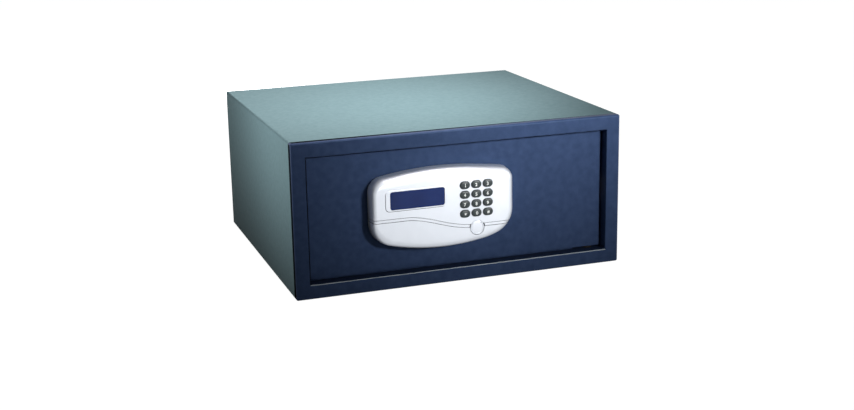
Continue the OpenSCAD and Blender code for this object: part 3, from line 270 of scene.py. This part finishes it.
# A darker navy: painted shade for the floor of the reveal.
painted_reveal_shade = surface("painted_reveal_shade", light=(0.014, 0.023, 0.050), dark=(0.010, 0.017, 0.039), patch=0.009,
                    roughness=0.6, grain=0.0010, depth=0.00004, specular=0.02, tint=(0.5, 0.72, 1))
for material in (painted_shade, painted_highlight, painted_reveal_shade):
    front_frame.data.materials.append(material)
painted_shade_slot, painted_highlight_slot, reveal_shade_slot = 1, 2, 3
seam_y = -0.1787  # on top and below, the painted shade lies behind this
cabinet_low, cabinet_high = (Vector(corner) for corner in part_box("cabinet_shell"))
opening_x = 0.192
sill_z = 0.018
edge_r = 0.0012
near = 0.0001
facing, straight_up = 0.25, 0.9  # least part of a face's normal that points a way
for face in front_frame.data.polygons:
    x, y, z = face.center
    at_side = abs(x) > cabinet_high.x - near
    at_rim = at_side or not cabinet_low.z + near < z < cabinet_high.z - near
    on_edge = face.normal.y < -facing
    # Painted shade round the rim and down the opening's left edge.
    if at_rim and (at_side or y > seam_y):
        face.material_index = painted_shade_slot
    if on_edge and face.normal.x > facing and abs(x + opening_x) < edge_r + near:
        face.material_index = painted_shade_slot
    # A painted highlight along the sill's front edge.
    if on_edge and face.normal.z > facing and sill_z - edge_r < z < sill_z:
        face.material_index = painted_highlight_slot
    # Painted shade on the reveal's floor.
    if face.normal.z > straight_up and abs(z - sill_z) < near:
        face.material_index = reveal_shade_slot


# Floor mat: needle felt, 3 mm thick, cut 6 mm clear of the walls and punched for the anchor bolts.
# It lies loose on the cabinet's floor, with a soft uneven top and slightly pressed edges.
felt = surface("felt", light=(0.030, 0.032, 0.037), dark=(0.014, 0.015, 0.018), patch=0.0022,
               roughness=0.95, grain=0.0007, depth=0.0004, specular=0.1)
mat_low, mat_high = (Vector(corner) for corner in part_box("floor_mat"))
mat_cell = 0.006
mat_unevenness = 0.00035
tufts_per_metre = 90
mat_edge = 0.0006
mat_edge_turn = math.radians(50)


def add_piece(name, shape, material, body):
    """Makes an object from a bmesh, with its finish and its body."""
    mesh = bpy.data.meshes.new(name)
    shape.normal_update()
    shape.to_mesh(mesh)
    shape.free()
    mesh.materials.append(material)
    shade(mesh)
    piece = bpy.data.objects.new(name, mesh)
    scene.collection.objects.link(piece)
    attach(piece, body)
    return piece


mat_shape = bmesh.new()
mat_shape.from_mesh(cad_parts["floor_mat"].data)
bmesh.ops.remove_doubles(mat_shape, verts=mat_shape.verts, dist=same_point)
for axis in (0, 1):
    steps = round((mat_high[axis] - mat_low[axis]) / mat_cell)
    for step in range(1, steps):
        cut_at = Vector((0, 0, 0))
        cut_at[axis] = mat_low[axis] + (mat_high[axis] - mat_low[axis]) * step / steps
        across = Vector((0, 0, 0))
        across[axis] = 1
        bmesh.ops.bisect_plane(mat_shape, geom=mat_shape.verts[:] + mat_shape.edges[:] + mat_shape.faces[:],
                               plane_co=cut_at, plane_no=across)
for vert in mat_shape.verts:
    if vert.co.z > (mat_low.z + mat_high.z) / 2:
        vert.co.z -= mat_unevenness * (0.5 + 0.5 * noise.noise(vert.co * tufts_per_metre))
mat = add_piece("floor_mat_felt", mat_shape, felt, body="cabinet")
soft_edge = mat.modifiers.new("soft_edge", "BEVEL")
soft_edge.width = mat_edge
soft_edge.segments = 2
soft_edge.angle_limit = mat_edge_turn
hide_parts("floor_mat")


# Hinge: steel brackets welded behind the reveal carry flanged bushes of brass with painted shade
# that makes them near black, and ground pins pressed into blocks on the door turn in them. The
# strike plate stiffens the side that the bolts enter.
zinc = surface("zinc_plate", light=(0.52, 0.53, 0.54), dark=(0.43, 0.44, 0.46), patch=0.004,
               roughness=0.36, grain=0.0006, depth=0.00001, metallic=1.0)
bright_steel = surface("bright_steel", light=(0.66, 0.66, 0.67), dark=(0.58, 0.58, 0.59), patch=0.003,
                       roughness=0.2, grain=0.0004, depth=0.000004, metallic=1.0, stretch=(0.15, 1, 1),
                       spread=0.04)
brass = surface("brass", light=(0.70, 0.52, 0.24), dark=(0.60, 0.43, 0.19), patch=0.003, roughness=0.28,
                grain=0.0005, depth=0.000006, metallic=1.0)
for name in ("hinge_brackets", "strike_plate", "hinge_blocks"):
    dress(name, zinc, edge=0.0004)
# Near-black painted shade on the brass bushes, which sit in the dark gap below the door.
painted_shade_brass = surface("painted_shade_brass", light=(0.022, 0.018, 0.013), dark=(0.015, 0.012, 0.009), patch=0.003,
                      roughness=0.5, grain=0.0005, depth=0.000006, metallic=0.5, specular=0.2)
dress("hinge_bushes", painted_shade_brass, edge=0.0002)
dress("hinge_pins", bright_steel, edge=0.0004)


# Door: a 5 mm steel plate with a folded pan welded to its back, coated navy like the frame. The pan
# holds the lock and closes with an inner cover of grained plastic on six plated screws.
cover_grain = surface("cover_grain", light=(0.040, 0.043, 0.052), dark=(0.030, 0.032, 0.040), patch=0.003,
                      roughness=0.55, grain=0.0009, depth=0.00012, specular=0.4)
dress("door_plate", door_paint, edge=0.0006)
dress("door_pan", door_paint, edge=0.0004)
dress("inner_cover", cover_grain, edge=0.0004)
dress("cover_screws", zinc, edge=0.0002)


# Bolts: two turned steel bars, screwed with nuts to a flange on a laser-cut carriage. The bar of
# the carriage slides on shouldered studs under washers, and black moulded guides carry the bolts.
black_plastic = surface("black_plastic", light=(0.022, 0.023, 0.027), dark=(0.015, 0.016, 0.019),
                        patch=0.004, roughness=0.42, grain=0.0007, depth=0.00003, specular=0.5)
for name in ("bolt_carriage", "guide_studs"):
    dress(name, zinc, edge=0.0003)
for name in ("live_bolts", "bolt_nuts", "stud_washers"):
    dress(name, bright_steel, edge=0.0003)
dress("bolt_guides", black_plastic, edge=0.0003)


# Drive: a small gear motor in a steel can, screwed to a plate, turns a brass pinion in the
# carriage's rack. Two limit switches hang from a folded shelf, and notches in the bar free one
# plunger at each end.
motor_can = surface("motor_can", light=(0.56, 0.57, 0.58), dark=(0.48, 0.49, 0.50), patch=0.005,
                    roughness=0.3, grain=0.0005, depth=0.000006, metallic=1.0, stretch=(0.2, 1, 1))
for name in ("motor_bracket", "switch_bracket"):
    dress(name, zinc, edge=0.0003)
dress("gear_motor", motor_can, edge=0.0004)
dress("motor_screws", bright_steel, edge=0.0002)
dress("drive_pinion", brass, edge=0.0001)
dress("limit_switches", black_plastic, edge=0.0003)


# Emergency lock: a nickelled barrel held in the door by a thin hexagon nut. A brass plug with the
# keyway turns in it, and a cam on the plug's tail pushes the carriage back.
for name in ("override_barrel", "barrel_nut"):
    dress(name, bright_steel, edge=0.0002)
dress("override_plug", brass, edge=0.0002)
dress("override_cam", zinc, edge=0.0002)


# Keypad base: a shallow black moulding inside the cover's rim, screwed on through the door. It
# carries the circuit board, its parts and the silicone mat with the key domes.
solder_mask = surface("solder_mask", light=(0.020, 0.10, 0.045), dark=(0.014, 0.075, 0.034), patch=0.002,
                      roughness=0.3, grain=0.0008, depth=0.00002)
silicone = surface("silicone", light=(0.30, 0.31, 0.32), dark=(0.26, 0.27, 0.28), patch=0.003,
                   roughness=0.7, grain=0.0006, depth=0.00001)
dress("pad_base", black_plastic, edge=0.0003)
dress("pad_screws", zinc, edge=0.0002)
dress("pad_circuit_board", solder_mask, edge=0.0001)
dress("pcb_parts", black_plastic, edge=0.0001)
dress("key_mat", silicone, edge=0.0001)


# Display: a liquid-crystal module behind a clear blue-tinted window that is glued into the cover
# a little below its face. Unlit, it reads as one deep blue.
blue_window = surface("blue_window", light=(0.010, 0.031, 0.155), dark=(0.008, 0.025, 0.131), patch=0.02,
                      roughness=0.09, grain=0.01, depth=0.000001, specular=0.25, spread=0.02)
display_glass = surface("display_glass", light=(0.05, 0.07, 0.10), dark=(0.04, 0.06, 0.09), patch=0.01,
                        roughness=0.2, grain=0.002, depth=0.000002)
dress("display_window", blue_window, edge=0.00025)
dress("lcd_module", display_glass, edge=0.0002)


# Keypad cover: a painted silver-white moulding that fits over the base. Its edge rolls back softly,
# most of all along the top, and shade is painted into its colour towards the rim, darkest at the
# lower left. The window's low bezel and the openings for the window, the keys and the cap are moulded in.
silver_look = dict(light=(0.622, 0.653, 0.703), dark=(0.600, 0.632, 0.682), patch=0.012, roughness=0.5,
                   grain=0.0006, depth=0.000006, metallic=0.8)
silver_paint = surface("silver_paint", **silver_look)
silver_with_painted_shade = surface("silver_with_painted_shade", **silver_look)
# Painted shade for the walls of the grooves.
painted_groove_shade = surface("painted_groove_shade", light=(0.035, 0.038, 0.042), dark=(0.025, 0.028, 0.031), patch=0.004,
                     roughness=0.7, grain=0.0006, depth=0.000006, specular=0.1)
pad_corners = [  # x, z and radius, counter-clockwise from the front
    (-0.117, 0.0607, 0.029), (-0.035, 0.0419, 0.275), (0.032, 0.0536, 0.090), (0.064, 0.0662, 0.034),
    (0.0635, 0.1384, 0.014), (-0.034, 0.1496, 0.410), (-0.117, 0.137, 0.019)]
arc_steps = 20
pad_low, pad_high = (Vector(corner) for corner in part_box("pad_cover"))
pad_front, pad_rim = pad_low.y, pad_high.y
shallow_roll, deep_roll = 0.0070, 0.0145
left_roll, right_roll, top_roll, bottom_roll = 0.0060, 0.0095, 0.0125, 0.0090
corner_roll = 0.0035
roll_rise, roll_share = 0.9, 0.85  # powers below 1 make the roll fuller than an ellipse
draft = 0.0005
crown_steps = 12
face_wall = 0.0022
side_wall = 0.0024
pocket_inset = 0.0085
board_depth = 0.007
rim_break = 0.0004
# Painted shade on the cover: darker towards the rim, most at the lower left.
painted_shade_way = (-0.12, 1, -0.2)
painted_shade_start, painted_shade_end = pad_front + 0.003, pad_rim - 0.004  # distances along painted_shade_way
painted_shade_share = 0.35


def pad_outline():
    """Points of the outline as (x, z), each with its outward direction."""
    points = []
    count = len(pad_corners)
    for i, (x, z, radius) in enumerate(pad_corners):
        here = Vector((x, z))
        before = (here - Vector(pad_corners[i - 1][:2])).normalized()
        after = (Vector(pad_corners[(i + 1) % count][:2]) - here).normalized()
        inward = Vector((-before.y, before.x))
        inward_after = Vector((-after.y, after.x))
        centre = here + radius * (inward + inward_after) / (1 + inward.dot(inward_after))
        start = math.atan2(inward.y, inward.x)
        turn = math.acos(min(inward.dot(inward_after), 1))
        for k in range(arc_steps + 1):
            angle = start + turn * k / arc_steps
            out = -Vector((math.cos(angle), math.sin(angle)))
            points.append((centre + radius * out, out))
    return points


outline = pad_outline()


def pad_ring(y, inset):
    """The outline at y, set in by inset; both depend on the outward direction."""
    return [Vector((p.x - out.x * inset(out), y(out), p.y - out.y * inset(out))) for p, out in outline]


def all_round(value):
    """The same value in every direction."""
    return lambda out: value


def loft(rings):
    """A closed skin through rings of points, with a flat face on each end."""
    shape = bmesh.new()
    rows = [[shape.verts.new(point) for point in ring] for ring in rings]
    count = len(rows[0])
    for row, following in zip(rows, rows[1:]):
        for i in range(count):
            j = (i + 1) % count
            shape.faces.new((row[i], following[i], following[j], row[j]))
    shape.faces.new(rows[0])
    shape.faces.new(reversed(rows[-1]))
    bmesh.ops.recalc_face_normals(shape, faces=shape.faces)
    return shape


def roll_width(out):
    """Width of the rolled edge where the outline faces out. It is widest at the lower left corner."""
    side = right_roll if out.x > 0 else left_roll
    rise = top_roll if out.y > 0 else bottom_roll
    return side * out.x ** 2 + rise * out.y ** 2 + 2 * corner_roll * min(out.x, 0) * min(out.y, 0)


def roll_depth(out):
    """Depth of the rolled edge: deep towards the upper left, and shallow towards the lower right."""
    return shallow_roll + (deep_roll - shallow_roll) * (1 + (out.y - out.x) / math.sqrt(2)) / 2


crown_rings = [
    pad_ring(all_round(pad_rim), all_round(rim_break)),
    pad_ring(all_round(pad_rim - rim_break), all_round(0)),
    pad_ring(lambda out: pad_front + roll_depth(out), all_round(draft))]
for k in range(1, crown_steps + 1):
    lean = math.pi / 2 * k / crown_steps
    crown_rings.append(pad_ring(
        lambda out, rise=math.sin(lean) ** roll_rise: pad_front + roll_depth(out) * (1 - rise),
        lambda out, share=1 - math.cos(lean) ** roll_share: draft + (roll_width(out) - draft) * share))
crown = loft(crown_rings)


def paint_in_shade(material, way, full, darkest_at, share):
    """Paints shade into a material's colour along way, from the distance full to darkest_at, where a share
    is left.
    """
    nodes, links = material.node_tree.nodes, material.node_tree.links
    place = nodes.new("ShaderNodeTexCoord")
    along = nodes.new("ShaderNodeVectorMath")
    along.operation = "DOT_PRODUCT"
    along.inputs[1].default_value = way
    fade = nodes.new("ShaderNodeMapRange")
    scaled = nodes.new("ShaderNodeVectorMath")
    scaled.operation = "SCALE"
    base = nodes["Principled BSDF"].inputs["Base Color"]
    for socket, value in (("From Min", full), ("From Max", darkest_at), ("To Min", 1), ("To Max", share)):
        fade.inputs[socket].default_value = value
    links.new(place.outputs["Object"], along.inputs[0])
    links.new(along.outputs["Value"], fade.inputs["Value"])
    links.new(base.links[0].from_socket, scaled.inputs[0])
    links.new(fade.outputs["Result"], scaled.inputs["Scale"])
    links.new(scaled.outputs[0], base)


# The cover's silver gets painted shade down its sides.
paint_in_shade(silver_with_painted_shade, painted_shade_way, painted_shade_start, painted_shade_end, painted_shade_share)
crown_skin = BVHTree.FromBMesh(crown)
before_pad = pad_front - 0.05
backwards = Vector((0, 1, 0))
cover = add_piece("keypad_cover", crown, silver_with_painted_shade, body="door")


def surface_y(x, z):
    """Where the cover's skin is, straight behind the point x, z."""
    hit = crown_skin.ray_cast(Vector((x, before_pad, z)), backwards)[0]
    return hit.y if hit else pad_rim


def prism(points, y0, y1):
    """A closed solid from a flat outline in x and z, from y0 back to y1."""
    return loft([[Vector((x, y, z)) for x, z in points] for y in (y0, y1)])


def arc(x, z, radius, start, stop, steps):
    """Points on an arc about x, z, with angles in degrees."""
    angles = [math.radians(start + (stop - start) * k / steps) for k in range(steps + 1)]
    return [(x + radius * math.cos(a), z + radius * math.sin(a)) for a in angles]


def circle(x, z, radius):
    """Points all round x, z, 5 degrees apart."""
    return arc(x, z, radius, 0, 355, 71)


def round_box(x, z, width, height, radius, steps=8):
    """Outline of a rectangle with round corners about x, z."""
    dx, dz = width / 2 - radius, height / 2 - radius
    corners = ((1, 1, 0), (-1, 1, 90), (-1, -1, 180), (1, -1, 270))
    return [point for sx, sz, start in corners
            for point in arc(x + sx * dx, z + sz * dz, radius, start, start + 90, steps)]


def oval(x, z, width, height, steps=20):
    """Outline of an oval with round ends about x, z."""
    side = (width - height) / 2
    return (arc(x + side, z, height / 2, -90, 90, steps) + arc(x - side, z, height / 2, 90, 270, steps))


def carve(piece, *cutters, operation="DIFFERENCE", inside=None):
    """Cuts shapes out of a piece, or joins them to it, one after another. The cut walls get the
    finish inside, where one is named."""
    for shape in cutters:
        mesh = bpy.data.meshes.new("cutter")
        shape.to_mesh(mesh)
        shape.free()
        mesh.materials.append(inside or piece.data.materials[0])
        cutter = bpy.data.objects.new("cutter", mesh)
        scene.collection.objects.link(cutter)
        cut = piece.modifiers.new("cut", "BOOLEAN")
        cut.object = cutter
        cut.solver = "EXACT"
        cut.operation = operation
        cut.material_mode = "TRANSFER"
        carved = bpy.data.meshes.new_from_object(piece.evaluated_get(bpy.context.evaluated_depsgraph_get()))
        piece.modifiers.remove(cut)
        piece.data = carved
        bpy.data.objects.remove(cutter)
        bpy.data.meshes.remove(mesh)
    shade(piece.data)


def joined(shapes):
    """Several shapes as one."""
    whole = bmesh.new()
    for shape in shapes:
        mesh = bpy.data.meshes.new("part")
        shape.to_mesh(mesh)
        shape.free()
        whole.from_mesh(mesh)
        bpy.data.meshes.remove(mesh)
    return whole


digits = ("star", "0", "hash", "7", "8", "9", "4", "5", "6", "1", "2", "3")
key_boxes = {digit: [Vector(corner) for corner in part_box("key_" + digit)] for digit in digits}
key_size = (0.0128, 0.0095)
key_gap = 0.0003
window_low, window_high = (Vector(corner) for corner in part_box("display_window"))
window_centre = (window_low + window_high) / 2
window_size = (0.0687, 0.0223)
window_corner = 0.0032
bezel_size = (0.076, 0.0254)
bezel_offset = -0.0018
bezel_corner = 0.005
bezel_proud = 0.00045
bezel_edge = 0.0005
bezel_gap = 0.00045
bezel_gap_depth = 0.001
bezel_root = 0.7  # how far into the face's wall it reaches
cap_low, cap_high = (Vector(corner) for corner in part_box("lock_cover_cap"))
cap_centre = (cap_low + cap_high) / 2
cap_r = (cap_high.x - cap_low.x) / 2
overcut = 0.002
pocket_front = pad_front + face_wall
board_step = pad_front + board_depth

pocket = loft([pad_ring(all_round(y), all_round(pocket_inset))
               for y in (board_step + overcut / 2, pocket_front)])
tray = loft([pad_ring(all_round(y), all_round(side_wall)) for y in (pad_rim + overcut, board_step)])
key_holes = [prism(oval((low.x + high.x) / 2, (low.z + high.z) / 2,
                        key_size[0] + 2 * key_gap, key_size[1] + 2 * key_gap),
                   pad_front - overcut, pocket_front + overcut) for low, high in key_boxes.values()]
window_hole = prism(round_box(window_centre.x, window_centre.z, *window_size, window_corner),
                    pad_front - overcut, pocket_front + overcut)
cap_hole = prism(circle(cap_centre.x, cap_centre.z, cap_r + key_gap),
                 pad_front - overcut, pad_rim + overcut)
gap = prism(round_box(window_centre.x + bezel_offset - bezel_gap, window_centre.z - bezel_gap,
                      *bezel_size, bezel_corner), pad_front - overcut, pad_front + bezel_gap_depth)
bezel_levels = [(0, pad_front + face_wall * bezel_root), (0, pad_front)] + [
    (bezel_edge * (1 - math.cos(math.radians(a))), pad_front - bezel_proud * math.sin(math.radians(a)))
    for a in range(15, 91, 15)]
bezel = loft([[Vector((x, y, z)) for x, z in round_box(
    window_centre.x + bezel_offset, window_centre.z, bezel_size[0] - 2 * inset, bezel_size[1] - 2 * inset,
    bezel_corner - inset)] for inset, y in bezel_levels])
carve(cover, tray, pocket)
# The groove round the bezel has painted shade on its walls.
carve(cover, gap, inside=painted_groove_shade)
carve(cover, bezel, operation="UNION")
carve(cover, joined([*key_holes, window_hole, cap_hole]))


# Wave trim: a narrow strip of the same moulding, laid in a groove that comes round the left side,
# dips in a slow wave and passes under the cap. The groove's walls along each side of it have painted shade.
trim_right = 0.0592
trim_half, groove_half = 0.00158, 0.00213
trim_depth, groove_depth = 0.00155, 0.0016
end_clear = 0.0003
wave_from, wave_to = -0.075, 0.008
wave_high, wave_low = 0.0885, 0.0716
wave_steps = 150
slope_step = 0.0002
cap_clear = 0.0012
cover_edge = 0.0002


def wave_z(x):
    """Height of the strip's middle line at x."""
    part = min(max((x - wave_from) / (wave_to - wave_from), 0), 1)
    return wave_high + (wave_low - wave_high) * part * part * (3 - 2 * part)


def strip(half, depth, lift, back, stop):
    """A bar up the left side from back and along the wave to stop, lift above the skin and depth below."""
    corners = ((-1, -lift), (1, -lift), (1, depth), (-1, depth))
    faces_left = min(range(len(outline)), key=lambda i: outline[i][1].x)
    side = [Vector((pad_low.x, back, 0))] + [ring[faces_left] for ring in crown_rings[2:]]
    rings = []
    for before, here, after in zip(side[:1] + side, side, side[1:]):
        inward = Vector((before.y - after.y, after.x - before.x, 0)).normalized()
        rings.append([Vector((here.x, here.y, wave_high)) + inward * push + Vector((0, 0, edge * half))
                      for edge, push in corners])
    for k in range(wave_steps + 1):
        x = side[-1].x + (stop - side[-1].x) * k / wave_steps
        slope = (wave_z(x + slope_step) - wave_z(x - slope_step)) / (2 * slope_step)
        across = Vector((-slope, 1)).normalized() * half
        ring = []
        for edge, push in corners:
            px, pz = x + edge * across.x, wave_z(x) + edge * across.y
            ring.append(Vector((px, surface_y(px, pz) + push, pz)))
        rings.append(ring)
    return loft(rings)


# The trim's groove has painted shade on its walls.
carve(cover, strip(groove_half, groove_depth, overcut, pad_rim + overcut, trim_right), inside=painted_groove_shade)
soften(cover, cover_edge)
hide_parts("pad_cover")
trim_shape = strip(trim_half, trim_depth, 0, pad_rim - rim_break, trim_right - end_clear)
trim = add_piece("wave_strip", trim_shape, silver_with_painted_shade, body="door")
carve(trim, prism(circle(cap_centre.x, cap_centre.z, cap_r + cap_clear), pad_front - overcut, pad_rim))
soften(trim, cover_edge)
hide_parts("wave_trim")


# Lock cap: a round push-fit cover over the emergency lock, a little proud of the keypad, with a
# shallow ring groove near its edge and a skirt that grips the bore.
cap_face = cap_low.y
skirt_r, skirt_wall = cap_r - 0.001, 0.0012
cap_thick = 0.0022
cap_edge = 0.0001
cap_profile = [  # radius, and depth behind the face
    (0.0068, 0.00012), (0.00705, 0.00020), (0.00715, 0.00060), (0.00745, 0.00060), (0.00755, 0.00020),
    (0.0078, 0.00010), (cap_r - 0.0006, 0.00016), (cap_r - 0.0002, 0.0004), (cap_r, 0.0009),
    (cap_r, cap_thick), (skirt_r, cap_thick), (skirt_r, cap_high.y - cap_face),
    (skirt_r - skirt_wall, cap_high.y - cap_face), (skirt_r - skirt_wall, cap_thick)]
cap_dome = [(0.0012, 0), (0.003, 0.00002), (0.005, 0.00006)]  # as above, from the middle out


def turned(profile, x, y, z, steps=96):
    """A shape turned about Y through x, z from (radius, depth behind y) pairs."""
    angles = [math.tau * k / steps for k in range(steps)]
    return loft([[Vector((x + r * math.cos(a), y + d, z + r * math.sin(a))) for a in angles]
                 for r, d in profile])


cap_shape = turned(cap_dome + cap_profile, cap_centre.x, cap_face, cap_centre.z)
cap = add_piece("lock_cap", cap_shape, silver_paint, body="lock_cap")
soften(cap, cap_edge)
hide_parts("lock_cover_cap")


# Keys: twelve soft-topped ovals, each with a hidden flange under the cover, in dark grey-green
# plastic. Their marks are printed in white, most of them a little left of the middle.
key_plastic = surface("key_plastic", light=(0.030, 0.042, 0.044), dark=(0.023, 0.033, 0.035), patch=0.002,
                      roughness=0.38, grain=0.0005, depth=0.00001, specular=0.4)
white_ink = surface("white_ink", light=(0.90, 0.92, 0.90), dark=(0.85, 0.88, 0.86), patch=0.001,
                    roughness=0.6, grain=0.0003, depth=0.000005)
flange_grow = 0.0006
flange_thick = 0.0015
key_edge = 0.0001
dome = [  # inset from the key's side, and depth behind its top
    (0, 0.0018), (0.00008, 0.0013), (0.00030, 0.00085), (0.00065, 0.00052), (0.0012, 0.00028),
    (0.0020, 0.00013), (0.0030, 0.00004), (0.0040, 0)]
marks = {"star": "*", "hash": "#"}
digit_height = 0.0041
mark_height = {"star": 0.0030, "hash": 0.0036}
digit_shift = -0.0007
centred = ("star", "hash", "0", "1")
ink_weight = 0.00016
ink_thick = 0.00006
ink_sunk, ink_height = ink_thick / 2, ink_thick * 1.5
ink_cell = 0.0008


def key_shape(low, high):
    """A key between its box's corners."""
    x, z = (low.x + high.x) / 2, (low.z + high.z) / 2
    levels = [(-flange_grow, high.y - low.y), (-flange_grow, high.y - low.y - flange_thick),
              (0, high.y - low.y - flange_thick)] + dome
    return loft([[Vector((px, low.y + depth, pz))
                  for px, pz in oval(x, z, key_size[0] - 2 * inset, key_size[1] - 2 * inset)]
                 for inset, depth in levels])


def printed(text, height, x, z, skin):
    """A mark of the given height, printed on the skin of a key about x, z, with its foot sunk in."""
    writing = bpy.data.curves.new("writing", "FONT")
    writing.body = text
    writing.size = height
    writing.resolution_u = 6
    holder = bpy.data.objects.new("writing", writing)
    scene.collection.objects.link(holder)
    bpy.context.view_layer.update()
    writing.size *= (height - 2 * ink_weight) / holder.dimensions.y
    writing.offset = ink_weight
    mesh = bpy.data.meshes.new_from_object(holder.evaluated_get(bpy.context.evaluated_depsgraph_get()))
    bpy.data.objects.remove(holder)
    shape = bmesh.new()
    shape.from_mesh(mesh)
    bpy.data.meshes.remove(mesh)
    long_edges = [edge for edge in shape.edges if edge.calc_length() > ink_cell]
    bmesh.ops.subdivide_edges(shape, edges=long_edges, cuts=2)
    bmesh.ops.triangulate(shape, faces=shape.faces)
    low = [min(v.co[i] for v in shape.verts) for i in (0, 1)]
    high = [max(v.co[i] for v in shape.verts) for i in (0, 1)]
    scale = height / (high[1] - low[1])
    for vert in shape.verts:
        px = x + (vert.co.x - (low[0] + high[0]) / 2) * scale
        pz = z + (vert.co.y - (low[1] + high[1]) / 2) * scale
        hit = skin.ray_cast(Vector((px, before_pad, pz)), backwards)[0]
        vert.co = (px, hit.y + ink_sunk, pz)
    raised = bmesh.ops.extrude_face_region(shape, geom=shape.faces[:])
    for vert in [part for part in raised["geom"] if isinstance(part, bmesh.types.BMVert)]:
        vert.co.y -= ink_height
    bmesh.ops.recalc_face_normals(shape, faces=shape.faces)
    return shape


for digit, (low, high) in key_boxes.items():
    shape = key_shape(low, high)
    skin = BVHTree.FromBMesh(shape)
    key = add_piece("key_" + digit + "_cap", shape, key_plastic, body="button_" + digit)
    soften(key, key_edge)
    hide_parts("key_" + digit)
    shift = 0 if digit in centred else digit_shift
    mark = printed(marks.get(digit, digit), mark_height.get(digit, digit_height),
                   (low.x + high.x) / 2 + shift, (low.z + high.z) / 2, skin)
    ink = add_piece("key_" + digit + "_print", mark, white_ink, body="button_" + digit)
    shade(ink.data, smooth=False)


# Wiring: soft leads run from the board's plug through a rubber grommet in the door plate to the
# motor, the switches, the battery box and the reset switch.
wire_skin = surface("wire_skin", light=(0.30, 0.022, 0.024), dark=(0.24, 0.016, 0.018), patch=0.01,
                    roughness=0.42, grain=0.001, depth=0.00001)
rubber = surface("rubber", light=(0.020, 0.020, 0.021), dark=(0.014, 0.014, 0.015), patch=0.002,
                 roughness=0.75, grain=0.0005, depth=0.00002)
loom = dress("wiring_loom", wire_skin, edge=0)
shade(loom.data)
dress("cable_grommet", rubber, edge=0.0003)


# Power: a moulded box in the inner cover holds four plain-sleeved cells between brass contacts,
# and a ribbed lid slides off it in two rails.
cell_sleeve = surface("cell_sleeve", light=(0.060, 0.085, 0.13), dark=(0.052, 0.074, 0.115), patch=0.02,
                      roughness=0.25, grain=0.001, depth=0.000003)
dress("battery_box", black_plastic, edge=0.0003)
dress("battery_contacts", brass, edge=0.0002)
dress("batteries", cell_sleeve, edge=0.0006)
dress("battery_lid", cover_grain, edge=0.0003)


# Reset: a small push switch with a bezel through the inner cover, and a red button for setting
# a new code.
red_plastic = surface("red_plastic", light=(0.42, 0.020, 0.024), dark=(0.36, 0.015, 0.019), patch=0.003,
                      roughness=0.3, grain=0.0006, depth=0.00001)
dress("reset_switch", black_plastic, edge=0.0003)
dress("reset_button", red_plastic, edge=0.0004)
